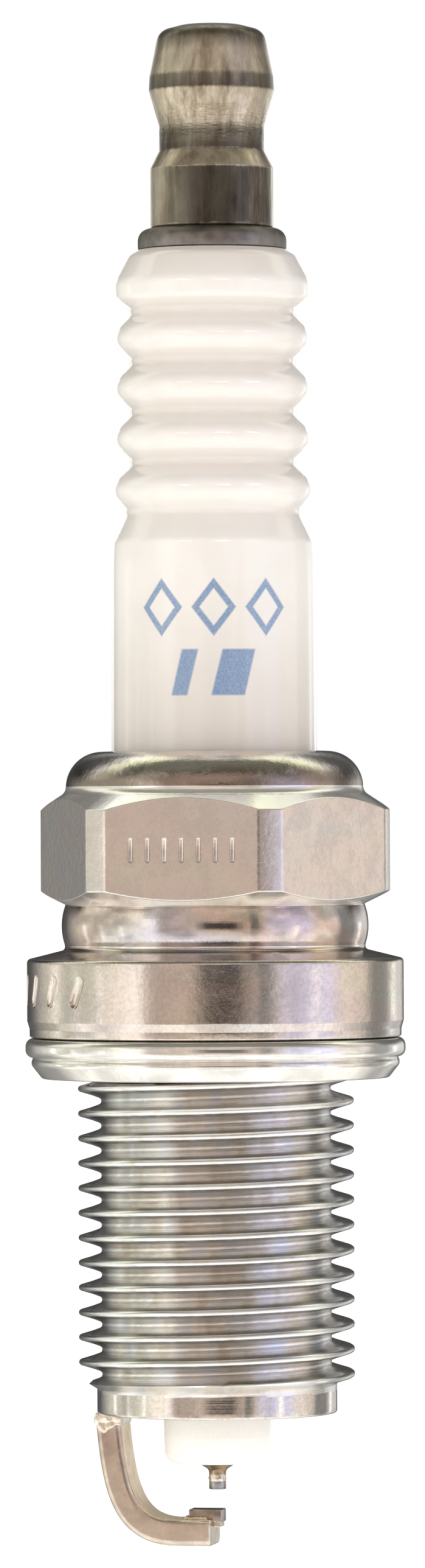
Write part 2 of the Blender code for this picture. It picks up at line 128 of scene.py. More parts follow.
# Ground electrode, in a plane turned about the plug's axis, and its pad.
STRAP_TURN = math.radians(-11.0)
STRAP_WIDTH = 2.7
STRAP_THICKNESS = 1.3
STRAP_CORNER = 0.3
STRAP_ROOT_U = -5.36
STRAP_BEND_END_U = -1.9
STRAP_END_U = -0.145
PAD_START_U = -1.37
PAD_END_U = 0.3
PAD_WIDTH = 1.3
PIN_R = 0.43

# Camera: the height and distance that give the plug its perspective, and what it frames.
CAMERA_DISTANCE = 433.0
CAMERA_HEIGHT = 12.6
FRAMED_HEIGHT = 79.0
FRAMED_MIDDLE_Z = 14.8
FRAMED_MIDDLE_X = -0.1
CAMERA_ROLL = math.radians(-0.26)
SENSOR = 36.0
FLOOR_DROP = 30.0

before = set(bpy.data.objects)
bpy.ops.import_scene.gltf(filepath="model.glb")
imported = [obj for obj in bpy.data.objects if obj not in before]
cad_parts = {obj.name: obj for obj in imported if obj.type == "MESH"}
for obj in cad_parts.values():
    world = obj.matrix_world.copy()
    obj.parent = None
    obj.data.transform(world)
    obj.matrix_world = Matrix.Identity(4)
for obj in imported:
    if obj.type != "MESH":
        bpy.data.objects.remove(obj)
cad_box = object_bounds()
chance = random.Random(SEED)


def measured(node):
    """Top, bottom and largest radius of a CAD node, in millimetres."""
    low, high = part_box(node)
    return SimpleNamespace(bottom=low.z / MM, top=high.z / MM, radius=high.x / MM)


SHELL = measured("shell")
INSULATOR = measured("insulator")
GASKET = measured("gasket")
NUT = measured("terminal_nut")
STUD = measured("terminal_stud")
STRAP = measured("ground_strap")
STRAP_WELD = measured("ground_strap_weld")
PAD = measured("ground_pad")
ELECTRODE = measured("centre_electrode")
TIP_WELD = measured("electrode_tip_weld")
TIP = measured("electrode_tip")


# Outlines and radii.

def clamp(value, low=0.0, high=1.0):
    return max(low, min(high, value))


def smooth_step(value):
    value = clamp(value)
    return value * value * (3 - 2 * value)


def blend(a, b, share):
    return a + (b - a) * share


def soft_min(a, b, softness):
    """The smaller of two values, rounded where they cross."""
    share = clamp(0.5 + 0.5 * (b - a) / softness)
    return blend(b, a, share) - softness * share * (1 - share)


def on_cone(value, low, high):
    """The second coordinate where the first is value, on the line through two points."""
    return blend(low[1], high[1], (value - low[0]) / (high[0] - low[0]))


def between(low, high, steps):
    """Points from low to high, evenly spaced, for rings of vertices that hold a flat surface flat."""
    step = (Vector(high) - Vector(low)) / steps
    return [tuple(Vector(low) + step * k) for k in range(steps + 1)]


def outline(corners, closed=False, density=ARC_DENSITY):
    """Points (r, z) of an outline given as (r, z) or (r, z, fillet radius) corners."""
    points = []
    count = len(corners)
    for i, corner in enumerate(corners):
        here = Vector(corner[:2])
        radius = corner[2] if len(corner) > 2 else 0.0
        at_end = not closed and i in (0, count - 1)
        if radius == 0.0 or at_end:
            points.append(tuple(here))
            continue
        back = (Vector(corners[i - 1][:2]) - here).normalized()
        ahead = (Vector(corners[(i + 1) % count][:2]) - here).normalized()
        half = back.angle(ahead) / 2
        middle = here + (back + ahead).normalized() * (radius / math.sin(half))
        first = here + back * (radius / math.tan(half)) - middle
        last = here + ahead * (radius / math.tan(half)) - middle
        sweep = first.angle_signed(last)
        arc_steps = max(2, round(density * math.sqrt(radius)))
        for k in range(arc_steps + 1):
            turn = Matrix.Rotation(-sweep * k / arc_steps, 2)
            points.append(tuple(middle + turn @ first))
    return points


def held(points):
    """Adds points near both ends of each long straight run, which keep the wear to its edges."""
    kept = [points[0]]
    for start, end in zip(points, points[1:]):
        run = Vector(end) - Vector(start)
        if run.length > 6 * HOLD:
            step = run.normalized() * HOLD
            kept += [tuple(Vector(start) + step), tuple(Vector(end) - step)]
        kept.append(end)
    return kept


# Meshes.

def even_angles(columns):
    return [math.tau * k / columns for k in range(columns)]


def ring(shape, angles, points):
    """One vertex for each angle, at that angle's (r, z)."""
    verts = []
    for angle, (r, z) in zip(angles, points):
        verts.append(shape.verts.new((r * math.cos(angle), r * math.sin(angle), z)))
    return verts


def join_rings(shape, first, second):
    for k in range(len(first)):
        after = (k + 1) % len(first)
        shape.faces.new((first[k], first[after], second[after], second[k]))


def join_row(shape, rings):
    """Faces from each ring of vertices to the next."""
    for first, second in zip(rings, rings[1:]):
        join_rings(shape, first, second)


def mark_convex_edges(shape):
    """Stores how far the surface turns outwards at each vertex, for the wear on its edges."""
    layer = shape.verts.layers.float.new("convex")
    shape.normal_update()
    for vert in shape.verts:
        turn = 0.0
        for edge in vert.link_edges:
            step = edge.other_vert(vert).co - vert.co
            turn -= step.normalized().dot(vert.normal)
        vert[layer] = clamp(turn / max(1, len(vert.link_edges)))


def add_object(name, data):
    item = bpy.data.objects.new(name, data)
    bpy.context.scene.collection.objects.link(item)
    return item


def new_object(name, shape, scale=MM):
    """An object from a mesh that was drawn in millimetres."""
    bmesh.ops.scale(shape, vec=(scale, scale, scale), verts=shape.verts)
    mesh = bpy.data.meshes.new(name)
    shape.to_mesh(mesh)
    shape.free()
    return add_object(name, mesh)


def finished(name, shape, worn=True):
    """A piece with even shading, from a closed mesh that was drawn in millimetres."""
    bmesh.ops.remove_doubles(shape, verts=shape.verts, dist=MERGE)
    bmesh.ops.recalc_face_normals(shape, faces=shape.faces)
    if worn:
        mark_convex_edges(shape)
    item = new_object(name, shape)
    item.data.shade_smooth()
    item.data.set_sharp_from_angle(angle=SHARP_ANGLE)
    weight = item.modifiers.new("Even shading", "WEIGHTED_NORMAL")
    weight.keep_sharp = True
    return item


def turned(name, points, columns=COLUMNS, closed=False, wobble=None):
    """A turned surface about Z. An open outline starts and ends on the axis."""
    shape = bmesh.new()
    angles = even_angles(columns)
    rings = []
    for point in held(points):
        places = [wobble(angle, *point) if wobble else point for angle in angles]
        rings.append(ring(shape, angles, places))
    join_row(shape, rings + rings[:1] if closed else rings)
    return finished(name, shape)


def thread_steps(pitch, half):
    """(r, rise) steps over one pitch. half is (r, rise, fillet) from the groove's middle to the crest."""
    corners = [(half[0][0], 0.0), *half]
    corners += [(r, pitch - rise, fillet) for r, rise, fillet in reversed(half)]
    corners.append((half[0][0], pitch))
    return outline(corners, density=THREAD_DENSITY)[:-1]


def helix(shape, angles, pitch, half, groove_z, planes, limit):
    """A threaded surface between two level planes. Returns its ring of vertices on each plane.

    Its rows climb by one pitch a turn, so that the crest is one clean line, and lie flat in the planes,
    where limit(radius, z) has to give a single radius."""
    steps = thread_steps(pitch, half)
    per_turn = len(steps)
    start_z = groove_z - 2 * pitch
    turns = math.ceil((planes[1] - start_z) / pitch) + 1
    rows = []
    for row in range(per_turn * turns):
        radius, rise = steps[row % per_turn]
        z_at_zero = start_z + pitch * (row // per_turn) + rise
        heights = [clamp(z_at_zero + pitch * angle / math.tau, *planes) for angle in angles]
        rows.append(ring(shape, angles, [(limit(radius, z), z) for z in heights]))
    for row in range(len(rows) - 1):
        for k in range(len(angles) - 1):
            shape.faces.new((rows[row][k], rows[row][k + 1], rows[row + 1][k + 1], rows[row + 1][k]))
        above = row + per_turn
        if above + 1 < len(rows):
            shape.faces.new((rows[row][-1], rows[above][0], rows[above + 1][0], rows[row + 1][-1]))
    bmesh.ops.remove_doubles(shape, verts=shape.verts, dist=SAME_PLACE)
    loose = [vert for vert in shape.verts if not vert.link_faces]
    bmesh.ops.delete(shape, geom=loose, context="VERTS")
    return [level_ring(shape, height) for height in planes]


def angle_of(vert):
    return math.atan2(vert.co.y, vert.co.x) % math.tau


def level_ring(shape, height):
    """The vertices along the open edge in a level plane, in order of angle."""
    rim = {vert for edge in shape.edges if edge.is_boundary for vert in edge.verts}
    return sorted((vert for vert in rim if abs(vert.co.z - height) < MERGE), key=angle_of)


def extend(shape, loop, profile, last=None):
    """Carries a ring of vertices along profile(angle), and on to a last ring where there is one."""
    angles = [angle_of(vert) for vert in loop]
    for points in zip(*[profile(angle) for angle in angles]):
        after = ring(shape, angles, points)
        join_rings(shape, loop, after)
        loop = after
    if last:
        join_rings(shape, loop, last)


def evaluated_copy(item):
    """The mesh of an object with its modifiers applied, as a bmesh, and the object removed."""
    bpy.context.view_layer.update()
    graph = bpy.context.evaluated_depsgraph_get()
    mesh = bpy.data.meshes.new_from_object(item.evaluated_get(graph))
    shape = bmesh.new()
    shape.from_mesh(mesh)
    bpy.data.objects.remove(item)
    bpy.data.meshes.remove(mesh)
    return shape


def cut(item, cutter):
    """Cuts one object out of another for good, and removes the cutter."""
    name = item.name
    item.modifiers.clear()
    modifier = item.modifiers.new("Cut", "BOOLEAN")
    modifier.operation = "DIFFERENCE"
    modifier.solver = "EXACT"
    modifier.object = cutter
    item.name = name + "_uncut"
    shape = evaluated_copy(item)
    bpy.data.objects.remove(cutter)
    bmesh.ops.scale(shape, vec=(1 / MM, 1 / MM, 1 / MM), verts=shape.verts)
    return finished(name, shape, worn=False)


# Shell.

def hex_radius(angle):
    """Radius of the hexagon with turned corners, at an angle about the axis."""
    sixth = math.tau / 6
    from_flat = (angle - FRONT - HEX_TURN + sixth / 2) % sixth - sixth / 2
    return soft_min(HEX_FLAT_R / math.cos(from_flat), HEX_CORNER_R, HEX_SOFTNESS)


def shell_angles():
    """Columns of the shell, close together at the upright edges of the hexagon."""
    edge = math.acos(HEX_FLAT_R / HEX_CORNER_R)
    near_edge = [math.radians(x) for x in (-0.9, -0.4, 0.0, 0.4, 0.9)]
    flat_reach = edge + 2 * near_edge[0]
    flat_columns = 15
    offsets = [flat_reach * (2 * k / (flat_columns - 1) - 1) for k in range(flat_columns)]
    offsets += [side * (edge + x) for side in (-1, 1) for x in near_edge]
    offsets += [math.radians(29.0), math.radians(31.0)]
    angles = [FRONT + HEX_TURN + math.tau * flat / 6 + x for flat in range(6) for x in offsets]
    return sorted(angle % math.tau for angle in angles)


def shell_profile(angle):
    """Outline of the shell at one angle: from its neck over the hexagon and the crimp, down the bore."""
    across = hex_radius(angle)
    lower_cone = (WAIST_R + 0.04, HEX_BOTTOM_Z), (HEX_CORNER_R, HEX_CORNER_BOTTOM_Z)
    upper_cone = (WAIST_R, HEX_TOP_Z), (HEX_CORNER_R, HEX_CORNER_TOP_Z)
    flat_bottom = on_cone(across, *lower_cone)
    flat_top = on_cone(across, *upper_cone)
    seat_z = GASKET.top + 0.035
    lip_z = SHELL.top - 0.85
    foot_r = SHELL.radius - 0.12
    corners = [
        (NECK_R, GASKET.top), (NECK_R, seat_z), (foot_r, seat_z, 0.1), (foot_r, 2.5, 0.15),
        (SHELL.radius, 2.9, 0.25), *between((SHELL.radius, 3.1), (SHELL.radius, 5.75), 8),
        (SHELL.radius, 6.0, 0.22), (WAIST_R, FLANGE_TOP_Z, 0.2), (WAIST_BULGE_R, 7.6, 3.0),
        (*lower_cone[0], 0.05), (across, flat_bottom, 0.09),
        *between((across, flat_bottom + 0.1), (across, flat_top - 0.1), 10), (across, flat_top, 0.09),
        (*upper_cone[0], 0.5), (WAIST_R, SHELL.top, 1.8), (CRIMP_LIP_R, SHELL.top, 0.2),
        (CRIMP_LIP_R, lip_z, 0.15), (UPPER_BORE_R, lip_z, 0.3), (UPPER_BORE_R, 2.75, 0.1),
        (MIDDLE_BORE_R, 1.55, 0.1), (MIDDLE_BORE_R, -6.45, 0.1), (LEDGE_R, -6.95, 0.1),
        (LEDGE_R, -8.1, 0.1), (CHAMBER_R, -8.9, 0.2), (CHAMBER_R, PILOT_END_Z, 0.2),
        (PILOT_R, PILOT_END_Z, 0.13), (PILOT_R, PILOT_END_Z + 0.3),
    ]
    return outline(corners)


def shell_limit(radius, z):
    """Radius of the thread within the neck's cone above it and the lead chamfer below it, where its
    groove runs out."""
    if z > 1.1:
        return NECK_R
    softness = 0.04
    neck = on_cone(z, (0.5, THREAD_CREST_R), (1.0, NECK_R))
    chamfer = on_cone(z, (-15.6, PILOT_R), (-15.05, THREAD_CREST_R))
    cut_r = soft_min(radius, max(neck, NECK_R), softness)
    cut_r = soft_min(cut_r, max(chamfer, PILOT_R), softness)
    runout = smooth_step((THREAD_END_Z - z) / THREAD_FADE)
    return max(cut_r, blend(THREAD_ROOT_R, PILOT_R, runout))


def stamped_stroke(shape, angle, radius, across, z, size, lean):
    """A capsule sunk in the surface. size is its length, its radius and its depth."""
    length, thickness, depth = size
    stroke = bmesh.ops.create_uvsphere(shape, u_segments=16, v_segments=11, radius=thickness)
    for vert in stroke["verts"]:
        vert.co.z += math.copysign(length / 2 - thickness, vert.co.z)
    place = Matrix.Rotation(angle, 4, "Z")
    place = place @ Matrix.Translation((radius + thickness - depth, across, z))
    place = place @ Matrix.Rotation(lean, 4, "X")
    bmesh.ops.transform(shape, matrix=place, verts=stroke["verts"])


def stamp_cutter():
    """Plain strokes for the front flat, and slanted ones for the left of the flange."""
    shape = bmesh.new()
    middle_z = (HEX_TOP_Z + HEX_BOTTOM_Z) / 2 - 0.1
    flat_strokes = 7
    for k in range(flat_strokes):
        across = 0.86 * (k - (flat_strokes - 1) / 2)
        stamped_stroke(shape, FRONT + HEX_TURN, HEX_FLAT_R, across, middle_z, (1.3, 0.14, 0.09), 0.0)
    for k in range(6):
        angle = FRONT - math.radians(46.6 + 12.8 * k)
        stamped_stroke(shape, angle, SHELL.radius, 0.0, 4.45, (1.9, 0.42, 0.18), math.radians(-22))
    return new_object("stamp_cutter", shape)


def build_shell():
    """Shell with its helical thread, hexagon, crimped rim and stepped bore, as one closed surface."""
    shape = bmesh.new()
    half = [(THREAD_ROOT_R, 0.12, 0.17), (6.25, 0.29, 0.5), (THREAD_CREST_R, 0.50, 0.155)]
    planes = THREAD_BOTTOM_PLANE_Z, THREAD_TOP_PLANE_Z
    low, high = helix(shape, shell_angles(), THREAD_PITCH, half, THREAD_GROOVE_Z, planes, shell_limit)
    extend(shape, high, shell_profile, last=low)
    return cut(finished("shell_surface", shape), stamp_cutter())


# Insulator, gasket and terminal.

def build_insulator():
    """Ribs, smooth barrel, the part sealed in the shell, and the nose, with a stepped bore."""
    seal_gap = 0.07
    corners = [
        (STEM_BORE_R, INSULATOR.top), (3.75, INSULATOR.top, 0.15), (4.25, INSULATOR.top - 0.3, 0.7),
        (4.99, FIRST_RIB_Z + 0.3, 0.9), (4.95, FIRST_RIB_Z - 0.55, 0.45),
    ]
    for rib in range(1, RIB_COUNT):
        crest_z = FIRST_RIB_Z - rib * RIB_PITCH
        groove_z = crest_z + RIB_PITCH - RIB_GROOVE_DROP
        corners.append((RIB_GROOVE_R, groove_z, 0.35))
        corners.append((RIB_CREST_R + rib * RIB_CREST_GROWTH, crest_z, 0.95))
    corners += [
        (4.38, 28.5, 0.4), (4.75, 27.7, 0.3), (5.1, 27.0, 0.8), (5.15, 26.0), (BODY_R, SHOULDER_Z),
        (INSULATOR.radius, SHOULDER_Z - 0.75), (INSULATOR.radius, 2.9, 0.1),
        (MIDDLE_BORE_R - seal_gap, 1.7, 0.1), (MIDDLE_BORE_R - seal_gap, -6.0, 0.1),
        (LEDGE_R - seal_gap, -6.5, 0.2), (LEDGE_R - 0.5, -8.2, 0.5), (2.75, -15.5),
        (2.65, INSULATOR.bottom, 0.6), (ELECTRODE_BORE_R, INSULATOR.bottom, 0.05),
        (ELECTRODE_BORE_R, -2.65), (STEM_BORE_R, -1.9),
    ]
    return turned("insulator_surface", outline(corners, closed=True), closed=True)


def build_gasket():
    """Folded sheet ring: a rounded bead over a flat lip, slightly uneven from the folding."""
    inner_r = 7.05
    rim_r = 9.6
    corners = [
        (inner_r, GASKET.top, 0.15), (rim_r, GASKET.top, 0.42), (rim_r, 1.12, 0.38), (9.22, 1.06, 0.04),
        (9.35, 0.75, 0.34), (8.76, 0.0, 0.2), (inner_r, 0.0, 0.15), (inner_r, 0.9, 0.1), (7.5, 1.1, 0.05),
        (inner_r, 1.3, 0.1),
    ]

    def uneven(angle, r, z):
        wave = 0.5 + 0.3 * math.sin(3 * angle + 1) + 0.2 * math.sin(7 * angle)
        return (r - 0.03 * wave if r > 8 else r, z)

    return turned("gasket_surface", outline(corners, closed=True), closed=True, wobble=uneven)


def build_terminal_nut():
    """Removable terminal nut: head, waist and skirt outside, a tapped bore inside."""
    shape = bmesh.new()
    half = [(NUT_BORE_R, 0.06, 0.03), (NUT_ROOT_R, 0.31, 0.03)]
    low_z = STUD_THREAD_Z + 0.2
    planes = low_z, low_z + STUD_THREAD_TURNS * STUD_PITCH

    def within(radius, z):
        return radius if planes[0] < z < planes[1] else NUT_BORE_R

    low, high = helix(shape, even_angles(COLUMNS), STUD_PITCH, half, low_z, planes, within)
    outside = [
        (NUT_BORE_R, low_z - 0.1), (NUT_BORE_R + 0.3, NUT.bottom, 0.05), (NUT_SKIRT_R, NUT.bottom, 0.12),
        (NUT_SKIRT_R, NUT_SKIRT_TOP_Z, 0.08), (NUT_NECK_R, NUT_NECK_BOTTOM_Z, 0.12),
        (NUT_NECK_R, NUT_NECK_TOP_Z, 0.3),
        (3.16, 49.75, 0.08), (3.12, 50.45, 0.15), (2.66, NUT.top - 0.17, 0.75),
        (1.5, NUT.top + 0.14, 1.5), (0.0, NUT.top + 0.18),
    ]
    extend(shape, low, lambda angle: held(outline(outside)))
    extend(shape, high, lambda angle: [(NUT_BORE_R, 51.4), (0.0, 51.9)])
    return finished("terminal_nut_surface", shape)


def stud_limit(radius, z):
    """Radius of the stud's thread within the runout above its collar and the chamfer at its end."""
    end = on_cone(z, (STUD.top - 0.75, STUD_R), (STUD.top - 0.4, STUD_ROOT_R))
    runout = on_cone(z, (STUD_THREAD_Z + 0.3, STUD_R), (STUD_THREAD_Z + 0.1, STUD_ROOT_R))
    return min(radius, max(min(end, runout), STUD_ROOT_R))


def build_terminal_stud():
    """Threaded stud, rounded collar, and the stem that reaches down to the seal."""
    shape = bmesh.new()
    angles = even_angles(SMALL_COLUMNS)
    half = [(STUD_ROOT_R, 0.04, 0.03), (STUD_R, 0.29, 0.05)]
    planes = STUD_THREAD_Z, STUD_THREAD_Z + STUD_THREAD_TURNS * STUD_PITCH
    low, high = helix(shape, angles, STUD_PITCH, half, STUD_THREAD_Z, planes, stud_limit)
    stem_end_r = 1.5
    collar_foot_z = INSULATOR.top + 0.03
    below = [
        (STUD_ROOT_R, COLLAR_TOP_Z, 0.05), (STUD.radius, COLLAR_TOP_Z, 0.6),
        (STUD.radius, collar_foot_z, 0.08), (STUD_R, collar_foot_z, 0.05), (STUD_R, 15.0),
        (stem_end_r, 14.6),
    ]
    for groove in range(4):
        groove_z = 14.2 - 0.6 * groove
        below += [(stem_end_r, groove_z), (stem_end_r - 0.2, groove_z - 0.15)]
        below += [(stem_end_r - 0.2, groove_z - 0.3), (stem_end_r, groove_z - 0.45)]
    below += [(stem_end_r - 0.2, STUD.bottom), (0.0, STUD.bottom)]
    above = [(STUD_ROOT_R, STUD.top - 0.32), (STUD_ROOT_R - 0.12, STUD.top, 0.06), (0.0, STUD.top)]
    extend(shape, low, lambda angle: held(outline(below)))
    extend(shape, high, lambda angle: outline(above))
    return finished("terminal_stud_surface", shape)


# Firing end.

def build_centre_electrode():
    """Nickel electrode seated in the bore, necked down to the pin that carries the tip."""
    collar_r = 1.95
    head_r = 1.55
    body_r = 1.3
    core_r = 0.78
    corners = [
        (0.0, -16.0), (core_r, -15.4), (core_r, ELECTRODE.top), (head_r, ELECTRODE.top),
        (head_r, -1.45, 0.1), (collar_r, -1.6, 0.1), (collar_r, -1.88), (body_r, -2.55, 0.2),
        (body_r, -19.2, 0.25), (PIN_R, -19.72, 0.3), (PIN_R, ELECTRODE.bottom), (0.0, ELECTRODE.bottom),
    ]
    return turned("centre_electrode_surface", outline(corners), SMALL_COLUMNS)


def build_tip_weld():
    """Ring of overlapping laser spots that joins the pin and the tip."""
    middle_z = (TIP_WELD.top + TIP_WELD.bottom) / 2
    corners = [
        (0.0, ELECTRODE.bottom), (PIN_R, ELECTRODE.bottom), (PIN_R + 0.03, middle_z, 0.15),
        (PIN_R, TIP.top), (0.0, TIP.top),
    ]
    spots = 9

    def scalloped(angle, r, z):
        bump = abs(math.sin(spots * (angle + 0.8 * (z - middle_z)) / 2))
        return (r - 0.03 * (1 - bump) if r > 0.3 else r, z)

    return turned("electrode_tip_weld_bead", outline(corners), SMALL_COLUMNS, wobble=scalloped)


def build_tip():
    corners = [(0.0, TIP.top), (PIN_R, TIP.top), (PIN_R, TIP.bottom, 0.035), (0.0, TIP.bottom)]
    return turned("electrode_tip_surface", outline(corners), SMALL_COLUMNS)


def strap_place(u, v, z):
    """A point of the ground electrode's own plane (u across the axis, v to its side) on the plug."""
    cosine, sine = math.cos(STRAP_TURN), math.sin(STRAP_TURN)
    return Vector((u * cosine - v * sine, u * sine + v * cosine, z))


def strap_line():
    """Centre line (u, z) of the bar: a leg that leans in, one long bend and a level end."""
    level_z = STRAP.bottom + STRAP_THICKNESS / 2
    root = Vector((STRAP_ROOT_U, STRAP.top))
    bend_end = Vector((STRAP_BEND_END_U, level_z))
    lean = Vector((0.085, -0.996)) * 3.6
    level = Vector((2.6, 0.0))
    a, b, c, d = root, root + lean, bend_end - level, bend_end
    steps = 44
    points = []
    for k in range(steps):
        t = k / steps
        s = 1 - t
        points.append(a * s ** 3 + b * 3 * s * s * t + c * 3 * s * t * t + d * t ** 3)
    end_steps = 8
    for k in range(end_steps + 1):
        points.append(bend_end + Vector((STRAP_END_U - STRAP_BEND_END_U, 0.0)) * (k / end_steps))
    return points


def build_strap():
    """The bent nickel bar with rounded edges and a seat for the pad in its end."""
    half_w, half_t = STRAP_WIDTH / 2, STRAP_THICKNESS / 2
    sides = [(1, 1), (1, -1), (-1, -1), (-1, 1)]
    section = outline([(t * half_t, w * half_w, STRAP_CORNER) for t, w in sides], closed=True)
    line = strap_line()
    edge = 0.06
    tip_direction = (line[-1] - line[-2]).normalized()
    stations = [(point, 0.0) for point in line[:-1]]
    stations += [(line[-1] - tip_direction * edge, 0.0), (line[-1], edge)]
    shape = bmesh.new()
    rings = []
    for i, (point, inset) in enumerate(stations):
        before = stations[max(i - 1, 0)][0]
        after = stations[min(i + 1, len(stations) - 1)][0]
        along = (after - before).normalized()
        inward = Vector((-along.y, along.x))
        shrink_t = 1 - inset / half_t
        shrink_w = 1 - inset / half_w
        verts = []
        for t, w in section:
            place = point + inward * (t * shrink_t)
            verts.append(shape.verts.new(strap_place(place.x, w * shrink_w, place.y)))
        rings.append(verts)
    join_row(shape, rings)
    shape.faces.new(rings[0])
    shape.faces.new(rings[-1])
    return cut(finished("ground_strap_surface", shape), pad_seat_cutter())


def block(shape, low, high):
    """A box in the ground electrode's own plane, between two (u, v, z) corners."""
    made = bmesh.ops.create_cube(shape, size=1.0)
    for vert in made["verts"]:
        place = [blend(a, b, share + 0.5) for a, b, share in zip(low, high, vert.co)]
        vert.co = strap_place(*place)


def pad_seat_cutter():
    gap = 0.03
    shape = bmesh.new()
    half_w = PAD_WIDTH / 2 + gap
    block(shape, (PAD_START_U - gap, -half_w, PAD.bottom - gap), (PAD_END_U + gap, half_w, PAD.top))
    return new_object("pad_seat_cutter", shape)


def build_pad():
    """Pad on the bar's end that faces the tip, with its cut edges broken."""
    shape = bmesh.new()
    half_w = PAD_WIDTH / 2
    block(shape, (PAD_START_U, -half_w, PAD.bottom), (PAD_END_U, half_w, PAD.top))
    bmesh.ops.bevel(shape, geom=list(shape.edges), offset=0.05, segments=3, profile=0.5, affect="EDGES")
    return finished("ground_pad_surface", shape)


def lump(shape, place, radius, stretch=(1, 1, 1)):
    made = bmesh.ops.create_icosphere(shape, subdivisions=2, radius=radius)
    bmesh.ops.scale(shape, vec=stretch, verts=made["verts"])
    bmesh.ops.translate(shape, vec=place, verts=made["verts"])


def melted(name, shape, voxel):
    """One closed skin over overlapping lumps, all drawn in millimetres."""
    item = new_object(name + "_lumps", shape, scale=1.0)
    fuse = item.modifiers.new("Fuse", "REMESH")
    fuse.mode = "VOXEL"
    fuse.voxel_size = voxel
    smooth = item.modifiers.new("Melt", "SMOOTH")
    smooth.iterations = 6
    return finished(name, evaluated_copy(item))


def build_strap_weld():
    """Upset metal at the bar's root, squeezed out in low lumps round its sides and down its front."""
    shape = bmesh.new()
    half_t = STRAP_THICKNESS / 2 + 0.03
    half_w = STRAP_WIDTH / 2 + 0.03
    low = (STRAP_ROOT_U - half_t, -half_w, STRAP_WELD.bottom - 0.1)
    high = (STRAP_ROOT_U + half_t, half_w, PILOT_END_Z)
    block(shape, low, high)
    sides = [(-1, -1), (1, -1), (1, 1), (-1, 1)]
    per_side = 8
    sunk = 0.16
    for i, (side_u, side_v) in enumerate(sides):
        next_u, next_v = sides[(i + 1) % 4]
        for k in range(per_side):
            share = (k + chance.random() * 0.6) / per_side
            u = STRAP_ROOT_U + (half_t - sunk) * blend(side_u, next_u, share)
            v = (half_w - sunk) * blend(side_v, next_v, share)
            z = PILOT_END_Z - chance.uniform(0.15, 0.4)
            lump(shape, strap_place(u, v, z), chance.uniform(0.2, 0.27), (1, 1, chance.uniform(0.8, 1.2)))
    for k in range(9):
        u = STRAP_ROOT_U + half_t * chance.uniform(-0.8, 0.6)
        z = STRAP_WELD.bottom - chance.uniform(0.05, 0.35)
        lump(shape, strap_place(u, sunk - half_w, z), chance.uniform(0.2, 0.25))
    return melted("ground_strap_weld_flash", shape, 0.04)


def build_pad_weld():
    """Bead of overlapping laser spots round three sides of the pad."""
    shape = bmesh.new()
    reach = 0.13
    side = PAD_WIDTH / 2 + reach
    start = PAD_START_U - reach
    height = STRAP.bottom + STRAP_THICKNESS + 0.05
    route = [(STRAP_END_U - 0.2, side), (start, side), (start, -side), (STRAP_END_U - 0.2, -side)]
    spacing = 0.16
    for (u0, v0), (u1, v1) in zip(route, route[1:]):
        length = math.hypot(u1 - u0, v1 - v0)
        count = round(length / spacing)
        for k in range(count):
            share = k / count
            place = strap_place(blend(u0, u1, share), blend(v0, v1, share), height)
            lump(shape, place, chance.uniform(0.12, 0.155), (1.15, 1.15, 0.8))
    block(shape, (STRAP_END_U, -0.5, PAD.bottom - 0.24), (PAD_END_U - 0.06, 0.5, PAD.bottom + 0.04))
    return melted("ground_pad_weld_bead", shape, 0.025)


# Materials.

def srgb(red, green, blue):
    """A colour given as screen values from 0 to 255, as the linear values that shaders use."""
    def linear(value):
        share = value / 255
        return share / 12.92 if share <= 0.04045 else ((share + 0.055) / 1.055) ** 2.4
    return (linear(red), linear(green), linear(blue), 1.0)


def grey(value):
    return (value, value, value, 1.0)


